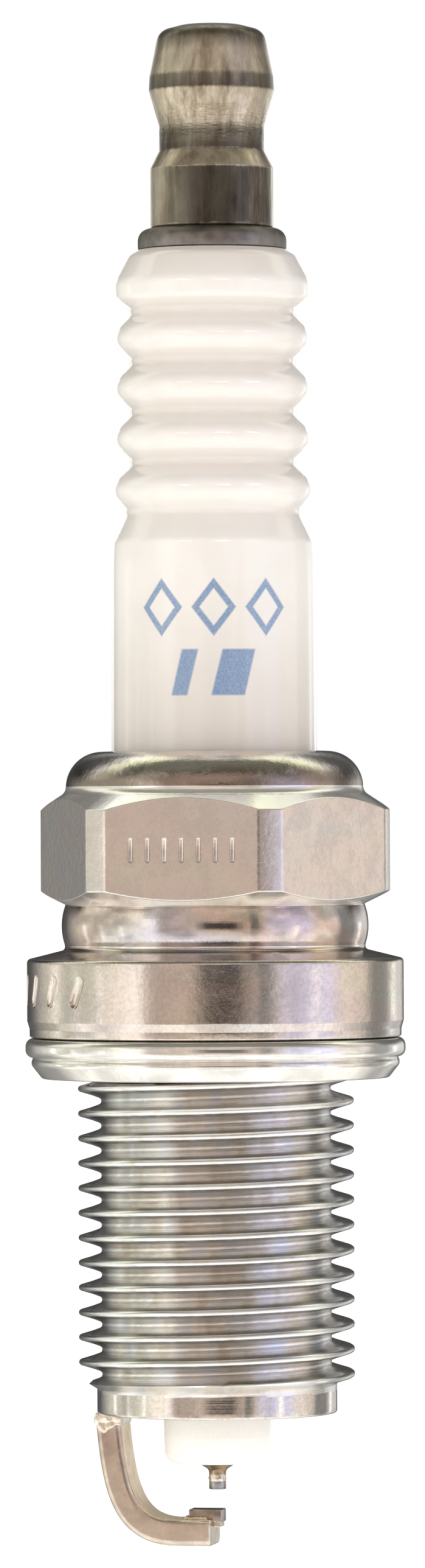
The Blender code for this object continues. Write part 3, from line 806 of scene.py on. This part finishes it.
class Paint:
    """The nodes of one material. Its patterns follow the object's own coordinates, in millimetres."""

    def __init__(self, name, color, roughness, metallic=1.0, **constants):
        self.material = bpy.data.materials.new(name)
        self.material.use_nodes = True
        self.tree = self.material.node_tree
        self.shader = self.tree.nodes["Principled BSDF"]
        constants.update(Base_Color=color, Roughness=roughness, Metallic=metallic)
        for socket, value in constants.items():
            self.shader.inputs[socket.replace("_", " ")].default_value = value
        place = self.node("TexCoord").outputs["Object"]
        self.place = self.vector("SCALE", place, scale=1 / MM)
        self.normal = None

    @classmethod
    def for_world(cls, world):
        """The nodes of a world, whose patterns follow the direction that is looked in."""
        sky = cls.__new__(cls)
        sky.tree = world.node_tree
        sky.place = sky.node("TexCoord").outputs["Generated"]
        return sky

    def link(self, value, socket):
        """Sets a socket to a number, a colour or another node's output."""
        if isinstance(value, bpy.types.NodeSocket):
            self.tree.links.new(value, socket)
        elif value is not None:
            socket.default_value = value

    def node(self, kind, *inputs, **settings):
        """A new node, with values for its sockets in order, and settings or more sockets by name."""
        made = self.tree.nodes.new("ShaderNode" + kind)
        for name, value in settings.items():
            if name in made.inputs:
                self.link(value, made.inputs[name])
            else:
                setattr(made, name, value)
        for value, socket in zip(inputs, made.inputs):
            self.link(value, socket)
        return made

    def vector(self, operation, a, b=None, scale=None):
        return self.node("VectorMath", a, b, None, scale, operation=operation).outputs["Vector"]

    def math(self, operation, a, b=None, c=None):
        return self.node("Math", a, b, c, operation=operation).outputs[0]

    def plus(self, a, b):
        return self.math("ADD", a, b)

    def minus(self, a, b):
        return self.math("SUBTRACT", a, b)

    def times(self, a, b):
        return self.math("MULTIPLY", a, b)

    def axes(self):
        """The coordinates x, y and z of the surface, in millimetres."""
        return self.node("SeparateXYZ", self.place).outputs

    def radius(self):
        """The distance from the plug's axis, in millimetres."""
        x, y, _ = self.axes()
        return self.math("SQRT", self.plus(self.times(x, x), self.times(y, y)))

    def turn_from_front(self):
        """The angle about the plug's axis, from its front round to the right."""
        x, y, _ = self.axes()
        return self.math("ARCTAN2", x, self.times(y, -1.0))

    def facing_up(self):
        """How far the surface faces up: 1 on a level top, 0 on an upright side, -1 below."""
        return self.node("SeparateXYZ", self.node("TexCoord").outputs["Normal"]).outputs["Z"]

    def combined(self, x, y, z):
        return self.node("CombineXYZ", x, y, z).outputs[0]

    def noise(self, scale, stretch=(1, 1, 1), detail=3.0, roughness=0.55, at=None, distortion=0.0):
        """Noise from 0 to 1 with about that many features a millimetre."""
        looks = {"Scale": scale, "Detail": detail, "Roughness": roughness, "Distortion": distortion}
        where = self.vector("MULTIPLY", at or self.place, stretch)
        return self.node("TexNoise", where, **looks).outputs["Fac"]

    def turning_marks(self, scale):
        """Fine rings round the axis, as a lathe leaves them."""
        return self.noise(scale, at=self.combined(self.radius(), 0.0, self.axes()[2]), detail=2.0)

    def spread(self, value, low, high, to_low=0.0, to_high=1.0):
        """The value's range from low to high laid over another range."""
        return self.node("MapRange", value, low, high, to_low, to_high).outputs[0]

    def ragged(self, value, pattern, amount):
        """A value moved up and down by a pattern, so that what it bounds has a ragged edge."""
        return self.plus(value, self.spread(pattern, 0.3, 0.7, -amount, amount))

    def mix(self, share, a, b, blend="MIX"):
        """Two colours mixed by a share of the second, or joined by another blend type."""
        number_sockets = (None,) * 5
        made = self.node("Mix", share, *number_sockets, a, b, data_type="RGBA", blend_type=blend)
        return made.outputs[2]

    def product(self, a, b):
        return self.mix(1.0, a, b, "MULTIPLY")

    def ramp(self, value, *stops):
        """Colours or shades of grey at places from 0 to 1."""
        made = self.node("ValToRGB", value)
        elements = made.color_ramp.elements
        while len(elements) < len(stops):
            elements.new(0.5)
        for element, (place, color) in zip(elements, stops):
            element.position = place
            element.color = color if isinstance(color, tuple) else grey(color)
        return made.outputs[0]

    def tones(self, value, *stops):
        """A ramp of (place, red, green, blue) stops, in screen values."""
        return self.ramp(value, *[(place, srgb(*color)) for place, *color in stops])

    def edge_wear(self):
        """1 on the outer edges of the piece, broken up by noise, and 0 on its flat parts."""
        convex = self.node("Attribute", attribute_name="convex").outputs["Fac"]
        return self.spread(self.ragged(convex, self.noise(2.2), 0.05), 0.06, 0.22)

    def color(self, value):
        self.link(value, self.shader.inputs["Base Color"])

    def worn_color(self, base, bright, amount):
        """Colours the surface, brighter on its worn edges. Returns where they are."""
        wear = self.edge_wear()
        self.color(self.mix(self.times(wear, amount), base, bright))
        return wear

    def roughness(self, value, *ends):
        """Roughness from a value, or between two ends by a pattern."""
        value = self.spread(value, 0.3, 0.7, *ends) if ends else value
        self.link(value, self.shader.inputs["Roughness"])

    def bump(self, height, depth):
        """Adds relief: a height from 0 to 1 is that many millimetres deep."""
        made = self.node("Bump", Strength=1.0, Distance=depth * MM, Height=height, Normal=self.normal)
        self.normal = made.outputs[0]
        self.link(self.normal, self.shader.inputs["Normal"])


def plated(name, rough, mottle, bloom=1.0, marks=0.0, light=0.0, frosting=0.22, shine=1.0, shaded_below=None):
    """Bright zinc-nickel plate with a faint pink, straw and green bloom, frosted patches and scuffs.
    It is painted browner below a given height, as painted shade."""
    paint = Paint(name, srgb(206, 196, 184), rough[0], shine)
    tint = paint.tones(
        paint.noise(0.16, (1, 1, 1.7), detail=2.0, distortion=0.6),
        (0.30, 206, 206, 178), (0.42, 216, 198, 180), (0.52, 214, 190, 182),
        (0.62, 206, 198, 190), (0.74, 194, 192, 208),
    )
    speckle = paint.spread(paint.noise(6.0, detail=5.0), 0.38, 0.64)
    plain = paint.mix(speckle, srgb(216, 208, 196), srgb(182, 173, 162))
    base = paint.mix(0.8 * bloom, plain, tint)
    base = paint.mix(light, base, srgb(240, 237, 230))
    frost = paint.spread(paint.noise(0.75, detail=6.0, roughness=0.72), 0.46, 0.58)
    base = paint.mix(paint.times(frost, frosting), base, srgb(150, 146, 136))
    # Painted shade: browner below the given height, with a ragged edge.
    if shaded_below:
        height = paint.plus(paint.axes()[2], paint.spread(frost, 0.0, 1.0, -0.15, 0.15))
        dull = paint.spread(height, shaded_below - 0.25, shaded_below + 0.25, 0.8, 0.0)
        base = paint.mix(dull, base, srgb(134, 116, 102))
    wear = paint.worn_color(base, srgb(246, 243, 234), 0.75)
    fine = paint.spread(paint.noise(9.0, detail=4.0, roughness=0.7), 0.35, 0.65, -0.04, 0.04)
    uneven = paint.plus(paint.spread(frost, 0.0, 1.0, *rough), fine)
    paint.roughness(paint.mix(wear, uneven, grey(0.16)))
    paint.bump(paint.noise(3.0, detail=6.0, roughness=0.6), mottle)
    paint.bump(paint.noise(19.0, detail=2.0), mottle * 0.2)
    if marks:
        paint.bump(paint.turning_marks(9.0), marks)
    return paint.material


def thread_plate():
    """Bright roll-formed thread, with fine lines that run along the groove, painted shade on the sides of its
    grooves and on its undersides, and near-white crests that are part wear and part painted highlight.
    """
    paint = Paint("thread_plate", srgb(212, 207, 198), 0.2)
    x, y, z = paint.axes()
    turn = paint.math("ARCTAN2", y, x)
    phase = paint.minus(paint.times(z, math.tau / THREAD_PITCH), turn)
    along = paint.combined(paint.math("COSINE", phase), paint.math("SINE", phase), paint.times(z, 0.02))
    lines = paint.noise(7.0, at=along, detail=3.0, roughness=0.7)
    blotches = paint.noise(0.9, detail=4.0)
    base = paint.tones(blotches, (0.35, 232, 226, 216), (0.5, 246, 243, 237), (0.68, 238, 240, 243))
    depth = paint.spread(paint.radius(), THREAD_ROOT_R, THREAD_CREST_R)
    # Painted shade: a darker band on each side of the groove, just inside the crest.
    flank_shade = paint.ramp(depth, (0.02, 1.0), (0.16, 1.0), (0.75, 0.88), (0.92, 1.0))
    # Painted shade on the faces that look down, but not on the lead chamfer.
    tilt = paint.spread(paint.facing_up(), -0.8, -0.35)
    on_lead = paint.spread(z, THREAD_END_Z - 0.1, THREAD_END_Z + 0.1, 1.0, 0.0)
    shade = paint.ramp(paint.math("MAXIMUM", tilt, on_lead), (0.0, 0.5), (1.0, 1.0))
    # The convex crests are painted near-white: part wear, part painted highlight.
    paint.worn_color(paint.product(paint.product(base, flank_shade), shade), srgb(248, 248, 246), 1.0)
    paint.roughness(paint.spread(lines, 0.35, 0.7, 0.10, 0.22))
    paint.bump(lines, 0.009)
    paint.bump(paint.noise(6.0, detail=3.0), 0.001)
    return paint.material


def terminal_nickel():
    """Oxidised nickel, streaked along the axis, with darker rings at its rim, its widest part and waist, and
    painted darker round the front of its skirt.
    """
    paint = Paint("terminal_nickel", srgb(150, 138, 120), 0.36, metallic=0.8)
    z = paint.axes()[2]
    streaks = paint.noise(2.4, (1, 1, 0.1), detail=6.0, roughness=0.72)
    clouds = paint.noise(0.8, (1, 1, 0.6), detail=4.0)
    base = paint.tones(
        paint.plus(paint.times(streaks, 0.55), paint.times(clouds, 0.45)),
        (0.36, 134, 120, 102), (0.47, 178, 165, 144), (0.56, 202, 190, 168), (0.68, 222, 211, 190),
    )
    height = paint.ragged(z, paint.noise(5.0, (1, 1, 0.5)), 0.03)
    ramp_low_z, ramp_high_z = 42.0, 54.0
    rings = paint.ramp(
        paint.spread(height, ramp_low_z, ramp_high_z),
        (0.02, 0.95), (0.29, 0.90), (0.32, 1.0), (0.385, 1.0),
        (0.395, 0.20), (0.47, 0.34), (0.50, 0.85), (0.54, 1.0),
        (0.638, 1.0), (0.648, 0.24), (0.700, 0.32), (0.712, 0.85),
        (0.80, 0.80), (0.855, 0.36), (0.90, 0.30),
    )
    dulled = paint.product(base, rings)
    # The skirt is painted darker over a wide span round its front, with a ragged edge.
    front_darkening = paint.ramp(
        paint.spread(paint.ragged(paint.turn_from_front(), streaks, 0.3), -math.pi, math.pi),
        (0.28, 1.0), (0.34, 0.80), (0.385, 0.34), (0.45, 0.15),
        (0.60, 0.15), (0.68, 0.30), (0.73, 0.80),
    )
    on_skirt = paint.spread(height, NUT_SKIRT_TOP_Z - 0.08, NUT_SKIRT_TOP_Z + 0.04, 1.0, 0.0)
    dulled = paint.mix(on_skirt, dulled, paint.product(dulled, front_darkening))
    paint.worn_color(dulled, srgb(226, 214, 192), 0.7)
    paint.roughness(streaks, 0.42, 0.22)
    paint.bump(streaks, 0.003)
    over_neck = paint.spread(z, NUT_NECK_BOTTOM_Z + 0.3, NUT_NECK_BOTTOM_Z + 0.7)
    under_head = paint.spread(z, NUT_NECK_TOP_Z + 0.35, NUT_NECK_TOP_Z + 0.95, 1.0, 0.0)
    dents = paint.times(paint.times(over_neck, under_head), paint.noise(2.6, (1, 1, 3)))
    paint.bump(dents, 0.12)
    paint.bump(paint.turning_marks(6.0), 0.002)
    return paint.material


def terminal_steel():
    """Dull grey steel of the stud and its collar."""
    paint = Paint("terminal_steel", srgb(112, 107, 104), 0.5)
    clouds = paint.noise(1.4, detail=4.0)
    base = paint.tones(clouds, (0.35, 124, 119, 113), (0.65, 156, 150, 144))
    paint.worn_color(base, srgb(170, 164, 158), 0.4)
    paint.roughness(clouds, 0.42, 0.56)
    paint.bump(paint.noise(7.0, detail=4.0), 0.01)
    paint.bump(paint.turning_marks(8.0), 0.008)
    return paint.material


def printed_mark(paint):
    """1 inside a plain print on the front of the body: three open diamonds over two slanted bars."""
    z = paint.axes()[2]
    across = paint.times(paint.turn_from_front(), BODY_R)

    def within(value, centre, limit, soft=0.05):
        """1 where a value is closer than limit to a centre, with a soft edge."""
        distance = paint.math("ABSOLUTE", paint.minus(value, centre))
        return paint.spread(distance, limit - soft, limit + soft, 1.0, 0.0)

    spacing = 2.75
    diamonds_z = 23.6
    bars_z = 20.35
    cell = paint.math("ABSOLUTE", paint.math("WRAP", across, spacing / 2, -spacing / 2))
    up = paint.times(paint.math("ABSOLUTE", paint.minus(z, diamonds_z)), 0.78)
    open_diamonds = within(paint.plus(cell, up), 0.93, 0.2)
    diamonds = paint.times(open_diamonds, within(across, 0.0, spacing * 1.5))
    lean = paint.minus(across, paint.times(paint.minus(z, bars_z), 0.25))
    both_bars = paint.math("MAXIMUM", within(lean, -1.5, 0.42), within(lean, 1.0, 0.85))
    bars = paint.times(within(z, bars_z, 1.15), both_bars)
    return paint.times(within(across, 0.0, 6.0), paint.math("MAXIMUM", diamonds, bars))


def glazed_ceramic():
    """Warm white glaze, faintly uneven, with a plain blue print on the front, and painted shade low on the
    body and nearer the axis, in the grooves between the ribs.
    """
    glaze = {"Coat_Weight": 0.5, "Coat_Roughness": 0.04, "Coat_IOR": 1.5}
    inside = {"Subsurface_Weight": 0.15, "Subsurface_Scale": 0.0008}
    haze = {"Sheen_Weight": 0.9, "Sheen_Roughness": 0.3}
    paint = Paint("glazed_ceramic", srgb(246, 240, 232), 0.12, metallic=0.0, **glaze, **inside, **haze)
    clouds = paint.noise(0.25, detail=3.0)
    body = paint.tones(clouds, (0.35, 226, 222, 217), (0.65, 231, 227, 223))
    # Painted shade: darker low on the body, towards the shell.
    low_down = paint.spread(paint.axes()[2], 15.0, 25.0, 0.85, 0.0)
    body = paint.mix(low_down, body, srgb(196, 187, 178))
    # Painted shade: darker nearer the axis, in the grooves between the ribs and over the narrow top.
    groove_shade = paint.spread(paint.radius(), 4.2, 5.0, 0.7, 0.0)
    body = paint.mix(groove_shade, body, srgb(216, 207, 199))
    specks = paint.spread(paint.noise(9.0, detail=2.0), 0.69, 0.74)
    body = paint.mix(paint.times(specks, 0.3), body, srgb(196, 184, 170))
    grain = paint.spread(paint.noise(14.0, detail=2.0), 0.35, 0.65, 0.75, 1.0)
    mark = paint.times(printed_mark(paint), grain)
    paint.color(paint.mix(mark, body, srgb(112, 140, 176)))
    paint.roughness(clouds, 0.07, 0.13)
    paint.bump(paint.noise(0.8, detail=2.0), 0.012)
    paint.bump(mark, 0.006)
    return paint.material


def bare_alumina():
    """Unglazed ceramic of the nose: matt, slightly grainy and just off white."""
    paint = Paint("bare_alumina", srgb(250, 246, 240), 0.5, metallic=0.0)
    grain = paint.noise(7.0, detail=4.0)
    paint.color(paint.tones(grain, (0.3, 248, 243, 236), (0.7, 253, 250, 245)))
    paint.roughness(grain, 0.42, 0.6)
    paint.bump(grain, 0.008)
    return paint.material


def metal_paint(name, dark, light, rough, grain, depth, shine=1.0):
    """A metal with clouded colour, uneven roughness, grain and brighter edges."""
    paint = Paint(name, srgb(*light), rough, metallic=shine)
    clouds = paint.noise(1.3, detail=4.0)
    bright = tuple(0.5 + 0.5 * channel for channel in srgb(*light))
    paint.worn_color(paint.tones(clouds, (0.34, *dark), (0.66, *light)), bright, 0.6)
    paint.roughness(clouds, rough * 1.25, rough * 0.8)
    paint.bump(paint.noise(grain, detail=4.0, roughness=0.65), depth)
    return paint


def metal(*looks):
    return metal_paint(*looks).material


def strap_nickel():
    """Heat-tinted bar: beige, browner and faintly violet where the weld heated it."""
    paint = metal_paint("strap_nickel", (158, 144, 128), (222, 208, 190), 0.24, 5.0, 0.006, 0.95)
    below_weld = paint.ragged(paint.minus(STRAP.top, paint.axes()[2]), paint.noise(1.1, detail=4.0), 0.5)
    clouded = paint.shader.inputs["Base Color"].links[0].from_socket
    tint = paint.tones(
        paint.spread(below_weld, 0.2, 3.2),
        (0.0, 238, 224, 206), (0.18, 206, 182, 172), (0.36, 194, 174, 160),
        (0.7, 218, 202, 184), (1.0, 228, 214, 196),
    )
    paint.color(paint.mix(0.6, clouded, tint))
    paint.bump(paint.noise(0.9, detail=2.0), 0.05)
    return paint.material


def matt(name, dark, light, rough, grain, depth):
    """A dull, grainy material that isn't metal."""
    paint = Paint(name, srgb(*light), rough, metallic=0.0)
    clouds = paint.noise(grain, detail=5.0, roughness=0.65)
    paint.color(paint.tones(clouds, (0.35, *dark), (0.65, *light)))
    paint.roughness(clouds, rough * 0.85, min(1.0, rough * 1.1))
    paint.bump(clouds, depth)
    return paint.material


def set_material(item, material):
    item.data.materials.clear()
    item.data.materials.append(material)


def set_by_height(item, stops):
    """Gives each face the material of the highest (z, material) stop below its middle."""
    item.data.materials.clear()
    for _, material in stops:
        item.data.materials.append(material)
    for face in item.data.polygons:
        z = face.center.z / MM
        face.material_index = max(i for i, (height, _) in enumerate(stops) if z >= height)


# The pieces.

def place_piece(item, body, slot, *nodes):
    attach(item, body)
    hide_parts(*nodes)


def place_on_plug(item, material, slot, node):
    """Places a piece of one material that is fixed to the plug."""
    set_material(item, material)
    place_piece(item, "plug_body", slot, node)


def finish_shell(shell):
    """Materials of the shell, by height and, on the hexagon, by the slope of its faces."""
    chamfer = plated("chamfer_plate", (0.08, 0.15), 0.008, bloom=0.1, light=1.0, frosting=0.0, shine=0.75)
    pilot = plated("pilot_plate", (0.08, 0.12), 0.002, bloom=0.2, marks=0.004, light=0.3, frosting=0.0)
    flange = plated("flange_plate", (0.13, 0.19), 0.008, bloom=0.7, light=0.25, frosting=0.16)
    waist = plated("waist_plate", (0.08, 0.13), 0.003, marks=0.002, light=0.1, frosting=0.1)
    hexagon = plated("hexagon_plate", (0.20, 0.26), 0.015, light=0.5, frosting=0.12)
    # Painted shade: the crimp is browner below about a millimetre under its top.
    crimp = plated("crimp_plate", (0.05, 0.11), 0.02, light=0.7, shaded_below=SHELL.top - 1.0)
    shell_stops = [
        (BELOW_ALL_Z, pilot), (-15.7, thread_plate()), (2.0, flange), (FLANGE_TOP_Z - 0.05, waist),
        (HEX_BOTTOM_Z + 0.02, hexagon), (HEX_TOP_Z - 0.03, chamfer), (HEX_TOP_Z + 0.3, crimp),
    ]
    set_by_height(shell, shell_stops)
    chamfer_index = shell.data.materials.find(chamfer.name)
    for face in shell.data.polygons:
        on_hexagon = HEX_BOTTOM_Z < face.center.z / MM < HEX_TOP_Z
        if on_hexagon and abs(face.normal.z) > 0.3:
            face.material_index = chamfer_index


def finish_strap(strap):
    """Heat-tinted nickel, with a duller copy in lighter colours on the face inside the bend, painted light on
    that face.
    """
    set_material(strap, strap_nickel())
    # Painted light: a lighter, duller copy of the nickel for the face inside the bend.
    lit_bend_metal = metal("lit_bend_nickel", (226, 206, 178), (244, 230, 208), 0.42, 5.0, 0.005, 0.4)
    strap.data.materials.append(lit_bend_metal)
    sideways = strap_place(0.0, 1.0, 0.0)
    within_bend = strap_place(-1.0, 0.0, STRAP.top) * MM
    for face in strap.data.polygons:
        faces_inwards = face.normal.dot(within_bend - face.center) > 0
        if faces_inwards and abs(face.normal.dot(sideways)) < 0.4:
            face.material_index = 1


def build_visible_pieces():
    """Makes the pieces that stand for the CAD nodes that show. Returns the insulator and the nut."""
    shell = build_shell()
    finish_shell(shell)
    place_piece(shell, "plug_body", "plated_steel", "shell")

    insulator = build_insulator()
    set_by_height(insulator, [(BELOW_ALL_Z, bare_alumina()), (GLAZE_END_Z, glazed_ceramic())])
    place_piece(insulator, "plug_body", "glazed_ceramic", "insulator")

    gasket = build_gasket()
    set_material(gasket, plated("gasket_plate", (0.1, 0.18), 0.003, 0.3, 0.003, 0.9, 0.12, shine=0.88))
    place_piece(gasket, "gasket", "gasket_steel", "gasket")

    nut = build_terminal_nut()
    set_material(nut, terminal_nickel())
    place_piece(nut, "terminal_nut", "terminal_nickel", "terminal_nut")

    nickel = metal("nickel_alloy", (140, 118, 92), (190, 168, 138), 0.3, 6.0, 0.01)
    bright_weld = metal("weld_nickel", (196, 180, 152), (240, 232, 214), 0.2, 8.0, 0.015)
    iridium = metal("iridium", (72, 68, 70), (120, 114, 116), 0.26, 8.0, 0.006)
    weld_steel = metal("weld_steel", (226, 212, 192), (250, 244, 232), 0.24, 6.0, 0.01, 0.8)
    platinum = metal("platinum", (112, 94, 78), (168, 150, 130), 0.2, 7.0, 0.006)
    place_on_plug(build_terminal_stud(), terminal_steel(), "terminal_steel", "terminal_stud")
    place_on_plug(build_centre_electrode(), nickel, "nickel_alloy", "centre_electrode")
    place_on_plug(build_tip_weld(), bright_weld, "weld_nickel", "electrode_tip_weld")
    place_on_plug(build_tip(), iridium, "iridium", "electrode_tip")

    strap = build_strap()
    finish_strap(strap)
    place_piece(strap, "plug_body", "strap_nickel", "ground_strap")
    place_on_plug(build_strap_weld(), weld_steel, "weld_steel", "ground_strap_weld")
    place_on_plug(build_pad(), platinum, "platinum", "ground_pad")
    place_on_plug(build_pad_weld(), bright_weld, "weld_nickel", "ground_pad_weld")
    return insulator, nut


def finish_sealed_pieces():
    """Materials for the CAD pieces that stay as they are, inside the plug."""
    glass = matt("conductive_glass", (92, 66, 54), (122, 92, 74), 0.4, 3.0, 0.02)
    wire = metal("packing_wire", (160, 160, 160), (200, 200, 200), 0.35, 8.0, 0.01)
    looks = {
        "upper_glass_seal": glass,
        "lower_glass_seal": glass,
        "resistor": matt("resistor_carbon", (38, 38, 40), (66, 66, 70), 0.75, 5.0, 0.03),
        "talc_packing": matt("talc", (214, 208, 194), (236, 231, 220), 0.95, 6.0, 0.04),
        "electrode_core": metal("copper", (186, 104, 72), (222, 144, 106), 0.3, 6.0, 0.01),
        "upper_packing_ring": wire,
        "lower_packing_ring": wire,
        "seat_packing": metal("packing_copper", (170, 108, 80), (206, 146, 112), 0.4, 6.0, 0.015),
    }
    for node, material in looks.items():
        set_material(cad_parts[node], material)


# Floor, light and camera.

def build_floor():
    """A plain pale floor, well below the plug so that it casts no hard shadow there."""
    shape = bmesh.new()
    bmesh.ops.create_grid(shape, x_segments=1, y_segments=1, size=6000.0)
    floor = new_object("floor", shape)
    floor.location.z = cad_box[0].z - FLOOR_DROP * MM
    paint = Paint("pale_floor", (0.86, 0.86, 0.85, 1.0), 0.7, metallic=0.0)
    paint.color(paint.ramp(paint.noise(0.02), (0.3, (0.84, 0.84, 0.83, 1.0)), (0.7, (0.88, 0.88, 0.87, 1.0))))
    paint.shader.inputs["Emission Color"].default_value = (1.0, 0.995, 0.985, 1.0)
    paint.shader.inputs["Emission Strength"].default_value = 0.8
    set_material(floor, paint.material)
    floor.visible_glossy = False


def build_world():
    """A studio as the polished metal sees it: bright walls to both sides, crossed by narrow tubes low down,
    a dark patch where the camera stands, a dark ceiling in front and a bright one behind. The camera
    itself sees plain white."""
    world = bpy.data.worlds.new("soft_studio")
    world.use_nodes = True
    bpy.context.scene.world = world
    sky = Paint.for_world(world)
    _, y, z = sky.axes()
    aside = sky.turn_from_front()
    over = sky.math("ARCTAN2", z, sky.times(y, -1.0))
    height = sky.math("ARCSINE", z)

    def panorama(angle, *stops):
        """Shades of grey or red, green and blue at places in degrees, for an angle in radians."""
        places = []
        for degrees, *color in stops:
            places.append((0.5 + degrees / 360, (*color, 1.0) if len(color) == 3 else color[0]))
        return sky.ramp(sky.spread(angle, -math.pi, math.pi), *places)

    brown = (0.84, 0.71, 0.64)
    dark_brown = (0.72, 0.59, 0.52)
    dusk = (0.95, 0.95, 1.20)
    violet = (1.10, 1.10, 1.50)
    sides = panorama(
        aside,
        (-180, 0.05), (-152, 0.10), (-138, 0.45), (-124, 0.95, 0.95, 0.84), (-80, 0.95, 0.96, 0.86),
        (-60, 1.55, 1.50, 1.38), (-48, 1.5), (-42, *brown), (-18, *dark_brown),
        (24, *dark_brown), (28, 0.18), (32, 0.18), (36, *brown), (42, *dusk), (60, *violet), (72, *violet),
        (84, 1.08, 0.98, 0.92), (104, 1.02, 0.92, 0.86), (111, 0.34), (128, 0.38), (136, 0.90),
        (160, 0.95), (165, 0.10), (180, 0.05),
    )
    ceiling = panorama(
        over,
        (-180, 0.25), (-145, 0.35), (-130, 1.38, 1.36, 1.28), (-80, 1.6), (-30, 1.5), (-8, 1.15, 1.05, 0.95),
        (8, 0.84, 0.69, 0.61), (36, 0.95, 0.82, 0.74), (47, 0.20, 0.19, 0.14), (98, 0.16, 0.16, 0.12),
        (107, 1.40, 1.45, 1.05), (130, 1.7), (160, 0.6), (180, 0.05),
    )
    patches = sky.noise(2.2, detail=3.0, roughness=0.6)
    uneven_height = sky.ragged(height, patches, 0.1)
    above = sky.spread(uneven_height, math.radians(14), math.radians(44))
    below = sky.spread(uneven_height, math.radians(-1), math.radians(-30), 0.0, 0.9)

    def near(angle, centre, inner, outer):
        """1 within inner degrees of a centre, and 0 beyond outer."""
        distance = sky.math("ABSOLUTE", sky.minus(angle, math.radians(centre)))
        return sky.spread(distance, math.radians(inner), math.radians(outer), 1.0, 0.0)

    low_down = sky.spread(height, math.radians(0.5), math.radians(2.5), 1.0, 0.0)
    for tube in (-116, -96, -74, 64, 140):
        sides = sky.mix(sky.times(near(aside, tube, 1.0, 3.5), low_down), sides, grey(1.9))
    surround = sky.mix(sky.math("MAXIMUM", above, below), sides, ceiling)
    cloudy = sky.mix(sky.spread(patches, 0.45, 0.6, 0.0, 0.45), surround, grey(0.25))

    camera_shade = sky.times(near(aside, 4.0, 10.0, 20.0), near(height, 1.5, 4.0, 9.0))
    both_sides = sky.math("ABSOLUTE", aside)
    backdrop_shade = sky.times(near(both_sides, 145.0, 14.0, 26.0), near(height, 28.0, 14.0, 24.0))
    shade = sky.times(sky.math("MAXIMUM", camera_shade, backdrop_shade), 0.92)
    shaded = sky.mix(shade, cloudy, grey(0.04))
    seen = sky.node("LightPath").outputs["Is Camera Ray"]
    sky.link(sky.mix(seen, shaded, grey(1.0)), world.node_tree.nodes["Background"].inputs["Color"])


def add_panel(name, place, size, power, color=(1.0, 1.0, 1.0), only_on=None, mirrored=True):
    """A soft light at a place in millimetres that faces the middle of the plug. It can light only the
    objects in a collection, and be left out of what shiny surfaces mirror."""
    light = bpy.data.lights.new(name, "AREA")
    light.shape = "RECTANGLE"
    light.size = size[0] * MM
    light.size_y = size[1] * MM
    light.energy = power
    light.color = color
    item = add_object(name, light)
    item.location = Vector(place) * MM
    middle = Vector((0.0, 0.0, FRAMED_MIDDLE_Z * MM))
    item.rotation_euler = (middle - item.location).to_track_quat("-Z", "Y").to_euler()
    item.visible_camera = False
    item.visible_glossy = mirrored
    item.light_linking.receiver_collection = only_on


def build_lights(pale_items):
    """Three panes in front and a bright wall behind, for the glaze and the terminal, a crown light that
    brightens the same two from above, and broad lights from the corners that only reach dull surfaces."""
    receivers = bpy.data.collections.new("pale_items")
    for item in pale_items:
        receivers.objects.link(item)
    add_panel("wall_behind", (0.0, 900.0, 15.0), (900.0, 500.0), 1.6, only_on=receivers)
    reach = 700.0
    for degrees in (-34, 11, 48):
        turn = math.radians(degrees)
        place = (reach * math.sin(turn), -reach * math.cos(turn), 230.0)
        add_panel(f"pane_{degrees}", place, (200.0, 8.0), 0.22, only_on=receivers)
    bluish = (0.97, 0.95, 1.0)
    add_panel("crown", (0.0, -420.0, 640.0), (700.0, 500.0), 0.55, bluish, receivers, mirrored=False)
    for side in (-1, 1):
        for depth, height, power in ((-850.0, 120.0, 3.2), (600.0, 100.0, 2.0)):
            add_panel("fill", (side * 820.0, depth, height), (900.0, 900.0), power, mirrored=False)


def build_camera():
    data = bpy.data.cameras.new("camera")
    data.sensor_width = SENSOR
    data.lens = SENSOR * CAMERA_DISTANCE / FRAMED_HEIGHT
    data.clip_start = 0.01
    data.clip_end = 20.0
    camera = add_object("camera", data)
    camera.location = Vector((FRAMED_MIDDLE_X, -CAMERA_DISTANCE, CAMERA_HEIGHT)) * MM
    middle = Vector((FRAMED_MIDDLE_X, 0.0, FRAMED_MIDDLE_Z)) * MM
    aim = (middle - camera.location).to_track_quat("-Z", "Y").to_matrix()
    camera.rotation_euler = (aim @ Matrix.Rotation(CAMERA_ROLL, 3, "Z")).to_euler()
    bpy.context.scene.camera = camera


pale_pieces = build_visible_pieces()
finish_sealed_pieces()
build_floor()
build_world()
build_lights(pale_pieces)
build_camera()
bpy.context.scene.view_settings.view_transform = "Standard"
